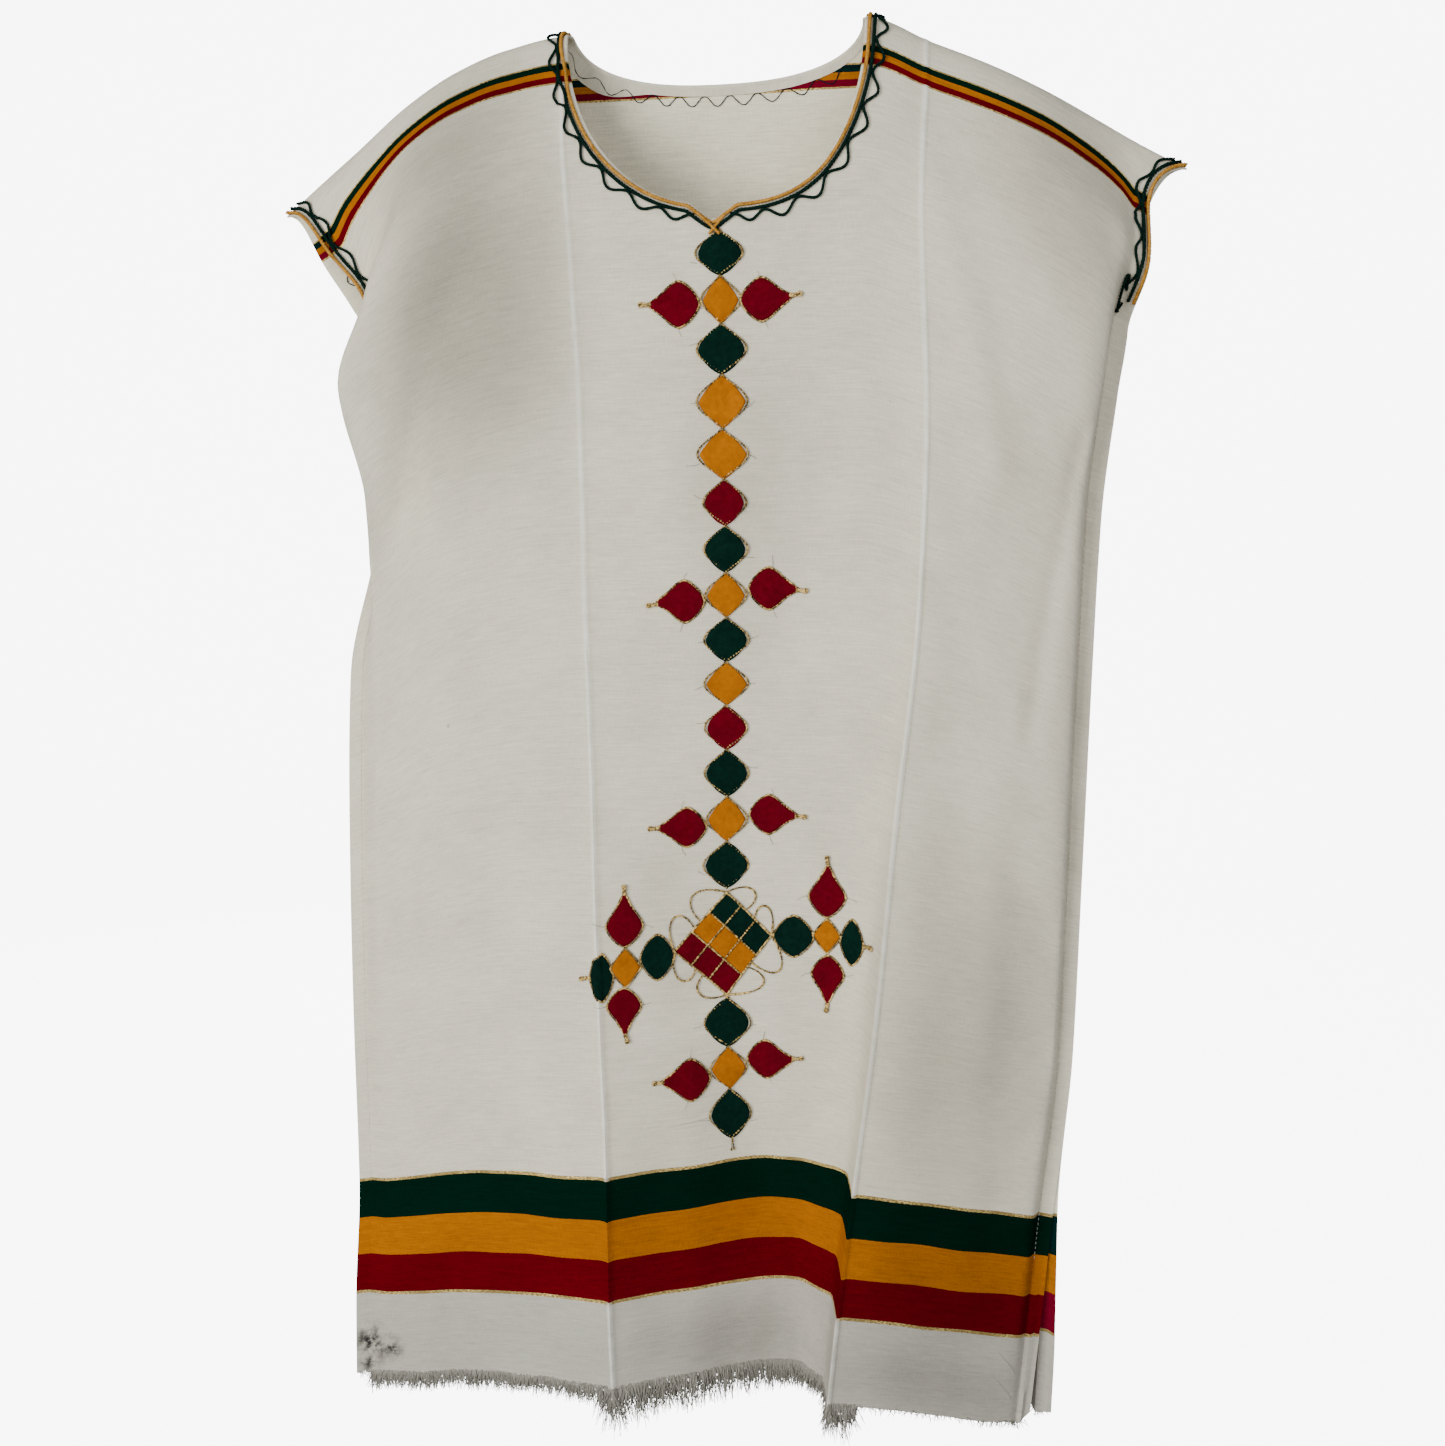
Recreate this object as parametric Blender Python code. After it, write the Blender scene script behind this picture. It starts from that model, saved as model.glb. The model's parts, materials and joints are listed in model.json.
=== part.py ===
# Hand-woven cotton tunic dress, hanging open as it does when worn.
# The cloth is one straight length folded over the shoulders. Its front and back are joined by side
# seams from the underarm to a slit at each side of the hem, and the sleeves are cut in one with it.
# Left and right are those of someone who looks at the front. The front faces -Y, up is +Z, and the
# origin lies on the shoulder fold, midway between the two ends of the neck opening.
import math
import random

import bmesh
import bpy
import numpy as np
from mathutils import Vector
from mathutils.bvhtree import BVHTree

MM = 0.001

# Driving dimensions
WALL = 1.2 * MM                # thickness of the cloth
SEAM_GAP = 0.3 * MM            # between two pieces at a seam
LIE_GAP = 0.35 * MM            # between the cloth and the patches on it
CORD_GAP = 0.6 * MM            # between the cloth and the cords on it
HALF_CLOTH = 370 * MM          # half the cloth's width along the shoulder fold
CLOTH_LENGTH = 1093 * MM       # from the shoulder fold to the cloth's end at the hem
FOLD_ROLL = 12 * MM            # how closely the cloth rolls over the shoulder
UNDERARM_DOWN = 135 * MM       # from the shoulder fold to where the side seam starts
SEAM_MARGIN = 12 * MM          # cloth outside the side stitching
HEM_SAG = 32 * MM              # how much lower the hem hangs at its sides
SEAM_AT = 0.965                # the side stitching, as a share of the half width

NECK_LEFT, NECK_RIGHT = -0.300, 0.311    # ends of the neck opening, as shares of the half width
NECK_FRONT_DEPTH = 147 * MM
NECK_BACK_DEPTH = 46 * MM
NECK_POWER = {"front": (2.2, 2.9), "back": (2.5, 2.5)}    # left, right: 2 is an ellipse, more squarer
NOTCH_DEPTH = 12 * MM
NOTCH_HALF_WIDTH = 18 * MM
NOTCH_CLEAR = 22 * MM                    # the wave cord stops this far from the notch
NECK_SETTLES = 260 * MM                  # below this the columns of the wall are evenly spaced

CORD_RADIUS = 1.4 * MM
WAVE_RADIUS = 1.0 * MM
EDGE_CORD_INSET = 2.0 * MM
GREEN_CORD_INSET = 5.8 * MM
WAVE_NEAR, WAVE_FAR = 9.4 * MM, 15.4 * MM
NECK_WAVE_PERIOD = 25 * MM
SLEEVE_WAVE_PERIOD = 27 * MM
SLEEVE_EDGE_SCALE = 0.34                 # metres of cloth for each share of the half width there
SLEEVE_TRIM_ENDS = {"left": (100 * MM, 122 * MM), "right": (118 * MM, 122 * MM)}    # front, back
SLEEVE_WAVE_SHORT = 6 * MM

PATCH_THICK = 1.2 * MM
PATCH_CROWN = 0.4 * MM
PATCH_POWER = 1.35                       # 1 is an ellipse, 2 a diamond
PATCH_POINTS = 12

SEAT_REACH = 6 * MM                      # how far outside the cloth's middle its facets are looked for
SEAT_DEPTH = 2 * MM                      # and how far inside
CLEAR_ROUNDS = 6

FRINGE_STRIP = 3 * MM
FRINGE_LENGTH = 15 * MM
FRINGE_SPREAD = 3 * MM
STRAND_WIDTH = 2.0 * MM
STRANDS = 84

# Height lost by the shoulder fold at a distance from the centre: (distance, left, right), in mm
SHOULDER = (
    (0, 0, 0), (112, 0, 0), (160, 8, 20), (200, 22, 37),
    (240, 44, 57), (280, 73, 80), (310, 95, 98), (343, 120, 116))

# Stations across each panel, as shares of the half width
FRONT_STATIONS = (
    ("left edge", -1.0), ("left swell", -0.88), ("left middle", -0.66), ("left crease", -0.30),
    ("centre", 0.10), ("crease foot", 0.385), ("right crease", 0.43), ("right middle", 0.72),
    ("right swell", 0.90), ("right edge", 1.0))
FRONT_CREASES = (-0.30, 0.43)
BACK_STATIONS = (
    ("left edge", -1.0), ("left swell", -0.85), ("left middle", -0.45), ("centre", 0.0),
    ("right middle", 0.45), ("right swell", 0.85), ("right edge", 1.0))

# Sections: distance down from the shoulder fold, then x and y at each station, in mm
FRONT_SECTIONS = (
    # down, left edge, left swell, left middle, left crease, centre, crease foot, right crease,
    # right middle, right swell, right edge
    (0, -343, 0, -303, 0, -230, 0, -111, 0, 37, 0,
     140, 0, 156, 0, 250, 0, 309, 0, 343, 0),
    (45, -308, -12, -281, -20, -222, -32, -111, -22, 37, -24,
     140, -24, 156, -24, 246, -30, 294, -16, 316, -12),
    (90, -280, -8, -262, -20, -226, -46, -110, -36, 37, -38,
     138, -38, 154, -38, 246, -48, 294, -38, 315, -26),
    (135, -276, -1, -270, -36, -229, -56, -107, -44, 37, -46,
     136, -46, 153, -46, 243, -54, 288, -40, 305, -1),
    (195, -276, -1, -290, -44, -235, -50, -103, -49, 37, -50,
     135, -48, 155, -50, 240, -52, 283, -36, 298, -1),
    (290, -282, -1, -276, -36, -231, -42, -100, -51, 37, -49,
     140, -50, 158, -53, 233, -44, 272, -26, 289, -1),
    (420, -311, -1, -276, -26, -226, -38, -100, -50, 37, -42,
     138, -46, 154, -52, 226, -40, 268, -24, 285, -1),
    (600, -321, -1, -285, -22, -228, -34, -99, -48, 37, -27,
     122, -34, 136, -48, 224, -36, 264, -22, 281, -1),
    (760, -326, -1, -290, -18, -230, -30, -99, -46, 37, -8,
     110, -20, 121, -44, 214, -33, 259, -18, 277, -1),
    (905, -329, -1, -292, -12, -228, -22, -98, -43, 37, 9,
     96, -6, 103, -40, 200, -28, 246, -14, 264, -1),
    (1015, -338, -1, -298, -10, -228, -18, -99, -42, 37, 11,
     83, -4, 90, -38, 186, -26, 236, -13, 255, -4),
    (1093, -342, -1, -301, -8, -230, -14, -98, -41, 37, 12,
     76, -4, 82, -36, 176, -24, 229, -12, 248, -6))
BACK_SECTIONS = (
    # down  left edge  left swell  left middle  centre  right middle  right swell  right edge
    (0, -343, 0, -293, 0, -162, 0, 0, 0, 160, 0, 293, 0, 343, 0),
    (45, -322, 6, -284, 16, -161, 22, 0, 24, 160, 22, 284, 16, 316, 4),
    (90, -298, 8, -270, 28, -160, 38, 0, 40, 158, 38, 276, 30, 306, 8),
    (135, -276, 1, -260, 36, -158, 52, 0, 54, 156, 52, 270, 36, 305, 1),
    (195, -276, 1, -256, 44, -157, 62, 0, 64, 155, 62, 266, 42, 298, 1),
    (290, -282, 1, -256, 48, -156, 72, 0, 74, 152, 70, 262, 46, 289, 1),
    (420, -311, 1, -268, 48, -156, 76, 0, 76, 151, 74, 260, 46, 285, 1),
    (600, -321, 1, -276, 46, -156, 78, 0, 74, 150, 78, 256, 46, 281, 1),
    (760, -326, 1, -282, 44, -156, 80, 0, 72, 146, 80, 252, 44, 277, 1),
    (905, -329, 1, -286, 42, -156, 82, 0, 70, 142, 82, 246, 42, 268, 1),
    (1015, -338, 1, -290, 42, -158, 84, 0, 70, 138, 84, 244, 42, 268, 6),
    (1093, -342, 1, -296, 42, -160, 86, 0, 70, 134, 86, 242, 44, 266, 10))

# Soft folds: (panel, share and distance down where each starts, and where it ends, half width,
# depth inwards), distances in mm. A fold that swells outwards has a minus depth.
SOFT_FOLDS = (
    ("front", -0.47, 140, -0.74, 330, 30, 9), ("front", -0.56, 420, -0.50, 880, 34, 4),
    ("front", 0.86, 250, 0.76, 500, 11, 3), ("front", 0.46, 120, 0.62, 300, 20, -4),
    ("front", 0.66, 560, 0.72, 980, 24, -4), ("front", -0.10, 800, -0.12, 1080, 22, -3),
    ("back", -0.56, 300, -0.50, 1090, 34, 7), ("back", -0.14, 420, -0.20, 1090, 30, -6),
    ("back", 0.14, 260, 0.20, 1090, 34, 7), ("back", 0.56, 360, 0.52, 1090, 30, -6),
    ("back", 0.50, 110, 0.72, 300, 28, 6), ("back", -0.50, 120, -0.70, 300, 28, 6))

# Columns and rows of the walls
LEFT_COLUMNS = (-1.0, -0.965, -0.93, -0.90, -0.865, -0.82, -0.76, -0.68, -0.57, -0.44)
NECK_COLUMNS = (-1.0, -0.9985, -0.985, -0.93, -0.80, -0.60, -0.36, -0.16,
                0.0, 0.16, 0.36, 0.60, 0.80, 0.93, 0.985, 0.9985, 1.0)
RIGHT_COLUMNS = (0.385, 0.43, 0.53, 0.64, 0.74, 0.83, 0.90, 0.94, 0.965, 1.0)
BACK_LEFT_COLUMNS = (-1.0, -0.965, -0.90, -0.78, -0.62, -0.46)
BACK_NECK_COLUMNS = (-1.0, -0.9985, -0.985, -0.90, -0.70, -0.36,
                     0.0, 0.36, 0.70, 0.90, 0.985, 0.9985, 1.0)
BACK_RIGHT_COLUMNS = (0.46, 0.62, 0.78, 0.90, 0.965, 1.0)
FRONT_ROWS = (0, 4, 9, 16, 27, 45, 68, 100, 135, 153, 173, 195, 225, 258, 295, 350, 420, 510, 600, 680, 760,
              835, 905, 960, 1015, 1055, 1093)
BACK_ROWS = (0, 4, 9, 16, 27, 45, 70, 100, 135, 170, 220, 290, 380, 500, 620, 760, 905, 1015, 1093)

# The centre chain of patches, from the neck down: (colour, height, width), in mm
UPPER_CHAIN_TOP = 166 * MM
UPPER_CHAIN = (
    ("green", 32, 33), ("yellow", 34, 27), ("green", 36, 35), ("yellow", 39, 36), ("yellow", 37, 36),
    ("red", 34, 30), ("green", 35, 31), ("yellow", 34, 29), ("green", 34, 32), ("yellow", 34, 32),
    ("red", 35, 31), ("green", 38, 33), ("yellow", 37, 30), ("green", 39, 34))
LOWER_CHAIN_TOP = 758 * MM
LOWER_CHAIN = (("green", 44, 36), ("yellow", 38, 28), ("green", 46, 32))
CHAIN_GAP = 0.8 * MM
CHAIN_LEAN_TOP, CHAIN_LEAN = 0.018, 0.040    # where the chain starts, and how far it drifts left

# Drops beside the chain: (name, down, across, height, width, tail), in mm
SIDE_DROPS = (
    ("side_drop_left_1", 217, -31, 33, 31, 7), ("side_drop_right_1", 215, 30, 31, 31, 7),
    ("side_drop_left_2", 434, -31, 32, 30, 8), ("side_drop_right_2", 425, 32, 32, 30, 8),
    ("side_drop_left_3", 612, -31, 32, 30, 8), ("side_drop_right_3", 602, 33, 32, 30, 8),
    ("side_drop_left_4", 827, -30, 37, 30, 8), ("side_drop_right_4", 813, 31, 35, 31, 8))

# The two cross arms beside the medallion: (name, colour, down, across, height, width, tip up or down)
MEDALLION_DOWN = 711 * MM
MEDALLION = ((0, -44), (33, -7), (0, 44), (-39, 4))    # corners: across, down
ARM_PATCHES = (
    ("left_arm_inner", "green", 719, -54, 38, 26, 0), ("left_arm_cross", "yellow", 726, -78.5, 32, 20, 0),
    ("left_arm_outer", "green", 733, -96.9, 40, 18, 0), ("left_arm_upper", "red", 691, -79, 34, 28, -12),
    ("left_arm_lower", "red", 758, -80, 30, 26, 12), ("right_arm_inner", "green", 704, 54, 35, 32, 0),
    ("right_arm_cross", "yellow", 702, 81, 28, 20, 0), ("right_arm_outer", "green", 705, 101, 38, 18, 0),
    ("right_arm_upper", "red", 669, 80.5, 34, 29, -12), ("right_arm_lower", "red", 735, 82, 32, 26, 12))

COLOURS = {
    "cotton": (0.78, 0.76, 0.70), "green": (0.01, 0.06, 0.04), "yellow": (0.72, 0.33, 0.02),
    "red": (0.35, 0.01, 0.02)}


def clear_scene():
    for thing in list(bpy.data.objects):
        bpy.data.objects.remove(thing, do_unlink=True)


def cloth_material(colour):
    name = "cloth_" + colour
    found = bpy.data.materials.get(name)
    if found:
        return found
    material = bpy.data.materials.new(name)
    material.use_nodes = True
    shader = material.node_tree.nodes["Principled BSDF"]
    shader.inputs["Base Color"].default_value = (*COLOURS[colour], 1.0)
    shader.inputs["Roughness"].default_value = 0.9
    shader.inputs["Metallic"].default_value = 0.0
    return material


def smooth_step(low, high, value):
    share = np.clip((value - low) / (high - low), 0.0, 1.0)
    return share * share * (3 - 2 * share)


def through(knots, values, at):
    """Curve through values (a row of them for each place in at) without overshoot."""
    step = np.diff(knots)
    slope = np.diff(values, axis=1) / step
    tangent = np.zeros_like(values)
    tangent[:, 0], tangent[:, -1] = slope[:, 0], slope[:, -1]
    before, after = slope[:, :-1], slope[:, 1:]
    same_way = before * after > 0
    safe = np.where(same_way, before + after, 1.0)
    tangent[:, 1:-1] = np.where(same_way, 2 * before * after / safe, 0.0)
    k = np.clip(np.searchsorted(knots, at, side="right") - 1, 0, len(knots) - 2)
    row = np.arange(len(at))
    width = step[k]
    t = (at - knots[k]) / width
    return ((2 * t**3 - 3 * t**2 + 1) * values[row, k] + (t**3 - 2 * t**2 + t) * width * tangent[row, k]
            + (3 * t**2 - 2 * t**3) * values[row, k + 1] + (t**3 - t**2) * width * tangent[row, k + 1])


def one_curve(knots, values, at):
    return through(knots, np.broadcast_to(values, (len(at), len(values))), at)


def rolled(down):
    """Share of the distance down that the roll over the shoulder has used."""
    return 1 - np.exp(-down / FOLD_ROLL)


def panel_table(sections, stations):
    """Knots down, knots across, and the x and y tables, with the side stitching added."""
    table = np.array(sections, float) * MM
    down, x, y = table[:, 0], table[:, 1::2], table[:, 2::2]
    across = np.array([share for _, share in stations])
    sewn = down >= UNDERARM_DOWN - MM
    seam_x = {}
    seam_y = {}
    for side, edge, inner in ((-1, 0, 1), (1, -1, -2)):
        seam_x[side] = x[:, edge] - side * SEAM_MARGIN
        seam_y[side] = np.where(sewn, y[:, edge], y[:, edge] + 0.3 * (y[:, inner] - y[:, edge]))
    across = np.concatenate([[across[0], -SEAM_AT], across[1:-1], [SEAM_AT, across[-1]]])
    x = np.column_stack([x[:, 0], seam_x[-1], x[:, 1:-1], seam_x[1], x[:, -1]])
    y = np.column_stack([y[:, 0], seam_y[-1], y[:, 1:-1], seam_y[1], y[:, -1]])
    return down + 2.5 * FOLD_ROLL * rolled(down), across, x, y


PANELS = {
    "front": (panel_table(FRONT_SECTIONS, FRONT_STATIONS), (-SEAM_AT, *FRONT_CREASES, SEAM_AT)),
    "back": (panel_table(BACK_SECTIONS, BACK_STATIONS), (-SEAM_AT, SEAM_AT))}


def section_at(side, share, down):
    """x and y of a panel's middle surface, smooth between its sharp creases."""
    (knots, across, x_table, y_table), creases = PANELS[side]
    at = down + 2.5 * FOLD_ROLL * rolled(down)
    stops = [0, *(int(np.argmin(abs(across - crease))) for crease in creases), len(across) - 1]
    xs = np.column_stack([one_curve(knots, column, at) for column in x_table.T])
    ys = np.column_stack([one_curve(knots, column, at) for column in y_table.T])
    x = np.zeros(len(share))
    y = np.zeros(len(share))
    for first, last in zip(stops[:-1], stops[1:]):
        here = (share >= across[first]) & (share <= across[last])
        if here.any():
            stretch = slice(first, last + 1)
            x[here] = through(across[stretch], xs[here, stretch], share[here])
            y[here] = through(across[stretch], ys[here, stretch], share[here])
    return x, y


def fold_depth(side, share, down):
    """How far the soft folds push the cloth inwards."""
    depth = np.zeros(len(share))
    for panel, share_a, down_a, share_b, down_b, half_width, inwards in SOFT_FOLDS:
        if panel != side:
            continue
        start = np.array([share_a * HALF_CLOTH, down_a * MM])
        run = np.array([share_b * HALF_CLOTH, down_b * MM]) - start
        spot = np.column_stack([share * HALF_CLOTH, down]) - start
        along = np.clip(spot @ run / (run @ run), 0, 1)
        apart = np.linalg.norm(spot - along[:, None] * run, axis=1)
        depth += inwards * MM * np.exp(-(apart / (half_width * MM))**2)
    free = smooth_step(0.0, 0.14, SEAM_AT - abs(share)) * smooth_step(20 * MM, 70 * MM, down)
    return depth * free


def shoulder_drop(x):
    distance, left, right = np.array(SHOULDER, float).T * MM
    return np.where(x < 0, one_curve(distance, left, abs(x)), one_curve(distance, right, abs(x)))


def cloth_points(side, share, down):
    """Middle surface of a panel at shares of the half width and distances down from the fold."""
    share, down = np.broadcast_arrays(np.atleast_1d(share).astype(float), np.atleast_1d(down).astype(float))
    share = np.clip(share, -1.0, 1.0)
    x, y = section_at(side, share, down)
    fold_x, _ = section_at(side, share, np.zeros(len(down)))
    y = y + (1 if side == "front" else -1) * fold_depth(side, share, down)
    fallen = down / CLOTH_LENGTH
    lost = shoulder_drop(fold_x) * (1 - fallen) + HEM_SAG * share**2 * fallen**4
    return np.column_stack([x, y, -(lost + down - FOLD_ROLL * rolled(down))])


def open_cloth(share, along):
    """Points and outward normals on the unfolded cloth: along is plus on the front, minus on the back."""
    share, along = np.broadcast_arrays(np.atleast_1d(share).astype(float), np.atleast_1d(along).astype(float))
    reach = 0.4 * MM

    def place(s, a):
        front = cloth_points("front", s, abs(a))
        back = cloth_points("back", s, abs(a))
        return np.where((a >= 0)[:, None], front, back)

    middle = place(share, along)
    step = np.where(share > 0, -reach, reach) / HALF_CLOTH
    by_share = (place(share + step, along) - middle) * np.sign(step)[:, None]
    by_along = place(share, along + reach) - place(share, along - reach)
    normal = np.cross(by_along, by_share)
    normal /= np.linalg.norm(normal, axis=1)[:, None]
    return middle, normal


def neck_edge(side, across):
    """How far down the neck's edge lies, across from -1 to 1."""
    depth = NECK_FRONT_DEPTH if side == "front" else NECK_BACK_DEPTH
    power = NECK_POWER[side][0 if across < 0 else 1]
    down = depth * (1 - abs(across) ** power) ** (1 / power)
    if side == "front":
        half = 0.5 * (NECK_RIGHT - NECK_LEFT) * HALF_CLOTH
        down = down + NOTCH_DEPTH * np.clip(1 - abs(across) * half / NOTCH_HALF_WIDTH, 0, 1)
    return down


def neck_share(across):
    return 0.5 * (NECK_LEFT + NECK_RIGHT) + 0.5 * (NECK_RIGHT - NECK_LEFT) * across


def wall_grid(side, left, neck, right, rows):
    """Shares and distances down for each column and row of a panel's wall."""
    rows = np.array(rows, float) * MM
    neck = np.array(neck)
    even = np.linspace(NECK_LEFT, NECK_RIGHT, len(neck))
    share, down = [], []
    for outer in left:
        share.append(np.full(len(rows), outer))
        down.append(rows)
    for across, settled in zip(neck, even):
        top = neck_edge(side, across)
        column = top + rows * (1 - top / CLOTH_LENGTH)
        evened = smooth_step(top, NECK_SETTLES, column)
        share.append(neck_share(across) + (settled - neck_share(across)) * evened)
        down.append(column)
    for outer in right:
        share.append(np.full(len(rows), outer))
        down.append(rows)
    return np.array(share), np.array(down)


def wall_skins(side, share, down):
    """Outer and inner skins of a panel, kept half a seam gap from the other panel where they meet."""
    away = -1 if side == "front" else 1
    shape = share.shape
    middle, normal = open_cloth(share.ravel(), -away * down.ravel())
    meets_fold = down.ravel() < 2 * MM
    meets_seam = (abs(share.ravel()) > 0.99) & (down.ravel() > UNDERARM_DOWN - MM)
    normal[meets_fold, 1] = 0
    normal[meets_seam] = (0, away, 0)
    normal /= np.linalg.norm(normal, axis=1)[:, None]
    outer = middle + normal * WALL / 2
    inner = middle - normal * WALL / 2
    near = (abs(share.ravel()) > 0.9) | (down.ravel() < 40 * MM)
    for skin, least in ((outer, SEAM_GAP / 2), (inner, SEAM_GAP / 2)):
        skin[near, 1] = away * np.maximum(away * skin[near, 1], least)
    sewn = (abs(share.ravel()) > 0.96) & meets_seam
    inner[sewn, 1] = away * SEAM_GAP / 2
    outer[sewn, 1] = away * (SEAM_GAP / 2 + WALL)
    return outer.reshape(*shape, 3), inner.reshape(*shape, 3)


def skin_triangles(columns, rows, start=0):
    faces = []
    for i in range(columns - 1):
        for j in range(rows - 1):
            a = start + i * rows + j
            b = a + rows
            faces += [(a, b, b + 1), (a, b + 1, a + 1)]
    return faces


def add_object(name, points, faces, colour, group):
    mesh = bpy.data.meshes.new(name)
    mesh.from_pydata([tuple(point) for point in points], [], faces)
    shape = bmesh.new()
    shape.from_mesh(mesh)
    bmesh.ops.recalc_face_normals(shape, faces=shape.faces)
    shape.to_mesh(mesh)
    shape.free()
    mesh.shade_smooth()
    mesh.materials.append(cloth_material(colour))
    made = bpy.data.objects.new(name, mesh)
    group.objects.link(made)
    return made


def add_panel(name, side, grid, group):
    """A thin wall between two skins, closed by a rim all round."""
    outer, inner = wall_skins(side, *grid)
    columns, rows = grid[0].shape
    count = columns * rows
    faces = skin_triangles(columns, rows)
    faces += [(a + count, c + count, b + count) for a, b, c in faces]
    rim = [(i, 0) for i in range(columns)] + [(columns - 1, j) for j in range(1, rows)]
    rim += [(i, rows - 1) for i in range(columns - 2, -1, -1)] + [(0, j) for j in range(rows - 2, 0, -1)]
    ring = [i * rows + j for i, j in rim]
    for a, b in zip(ring, ring[1:] + ring[:1]):
        faces += [(a, b, b + count), (a, b + count, a + count)]
    points = np.concatenate([outer.reshape(-1, 3), inner.reshape(-1, 3)])
    add_object(name, points, faces, "cotton", group)
    return outer.reshape(-1, 3), skin_triangles(columns, rows)


class Seat:
    """Finds the outside of the finished walls, so that trim lies just clear of their facets."""

    def __init__(self, skins):
        points, faces = [], []
        for skin, triangles in skins:
            faces += [tuple(corner + len(points) for corner in face) for face in triangles]
            points += [Vector(point) for point in skin]
        self.tree = BVHTree.FromPolygons(points, faces)

    def height(self, point, out):
        """How far a point lies outside the walls, along the outward normal there."""
        over_fold = abs(point.y) < WALL and out.z > 0.5
        found = []
        for aside in (-SEAM_GAP, SEAM_GAP) if over_fold else (0.0,):
            start = point + out * SEAT_REACH + Vector((0, aside, 0))
            distance = self.tree.ray_cast(start, -out, SEAT_REACH + SEAT_DEPTH)[3]
            found.append(SEAT_DEPTH if distance is None else distance - SEAT_REACH)
        return min(found)

    def lift(self, share, along, height):
        """Points at a height over the walls, and the normals they were moved along."""
        middle, normal = open_cloth(share, along)
        placed, outs = [], []
        for point, out in zip(middle, normal):
            point, out = Vector(point), Vector(out)
            hit = self.tree.ray_cast(point + out * SEAT_REACH, -out, SEAT_REACH + SEAT_DEPTH)[0]
            base = hit if hit else point + out * WALL / 2
            placed.append(base + out * height)
            outs.append(out)
        return placed, outs

    def cord_path(self, share, along, radius, closed):
        """A path over the walls, raised wherever a facet's edge would touch the cord."""
        placed, outs = self.lift(share, along, radius + CORD_GAP)
        needed = radius * 1.1 + 0.7 * CORD_GAP
        pairs = [(i, (i + 1) % len(placed)) for i in range(len(placed) if closed else len(placed) - 1)]
        for _ in range(CLEAR_ROUNDS):
            for i, j in pairs:
                out = (outs[i] + outs[j]).normalized()
                spots = [placed[i].lerp(placed[j], part) for part in (0.0, 0.25, 0.5, 0.75, 1.0)]
                short = needed - min(self.height(spot, out) for spot in spots)
                if short > 0:
                    placed[i] += outs[i] * short * 0.6
                    placed[j] += outs[j] * short * 0.6
        return placed


def add_cord(name, path, radius, colour, closed, group):
    curve = bpy.data.curves.new(name, "CURVE")
    curve.dimensions = "3D"
    curve.bevel_depth = radius
    curve.bevel_resolution = 0
    curve.use_fill_caps = True
    spline = curve.splines.new("POLY")
    spline.points.add(len(path) - 1)
    for point, place in zip(spline.points, path):
        point.co = (*place, 1.0)
    spline.use_cyclic_u = closed
    curve.materials.append(cloth_material(colour))
    made = bpy.data.objects.new(name, curve)
    group.objects.link(made)
    return made


def neck_loop(samples, notched):
    """The neck's edge on the unfolded cloth, anticlockwise from the centre front, in metres."""
    angle = np.linspace(0, 2 * math.pi, samples, endpoint=False)
    front, left = np.cos(angle) >= 0, np.sin(angle) < 0
    power = np.where(front, np.where(left, *NECK_POWER["front"]), np.where(left, *NECK_POWER["back"]))
    across = np.sign(np.sin(angle)) * abs(np.sin(angle)) ** (2 / power)
    depth = np.where(front, NECK_FRONT_DEPTH, NECK_BACK_DEPTH)
    along = np.sign(np.cos(angle)) * depth * abs(np.cos(angle)) ** (2 / power)
    half = 0.5 * (NECK_RIGHT - NECK_LEFT) * HALF_CLOTH
    if notched:
        along = along + front * NOTCH_DEPTH * np.clip(1 - abs(across) * half / NOTCH_HALF_WIDTH, 0, 1)
    return np.column_stack([neck_share(across) * HALF_CLOTH, along])


def spaced(path, steps, closed):
    """The same path with evenly spaced points, and their distances along it."""
    if closed:
        path = np.vstack([path, path[:1]])
    length = np.concatenate([[0], np.cumsum(np.linalg.norm(np.diff(path, axis=0), axis=1))])
    at = np.linspace(0, length[-1], steps, endpoint=not closed)
    return np.column_stack([np.interp(at, length, path[:, 0]), np.interp(at, length, path[:, 1])]), at


def pushed_out(path, distance, closed):
    """A path on the unfolded cloth moved sideways, away from the opening."""
    if closed:
        tangent = np.roll(path, -1, axis=0) - np.roll(path, 1, axis=0)
    else:
        tangent = np.gradient(path, axis=0)
    tangent /= np.linalg.norm(tangent, axis=1)[:, None]
    outward = np.column_stack([-tangent[:, 1], tangent[:, 0]])
    return path + outward * np.reshape(distance, (-1, 1))


def wave(at, period):
    return WAVE_NEAR + (WAVE_FAR - WAVE_NEAR) * (0.5 - 0.5 * np.cos(2 * math.pi * at / period))


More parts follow.
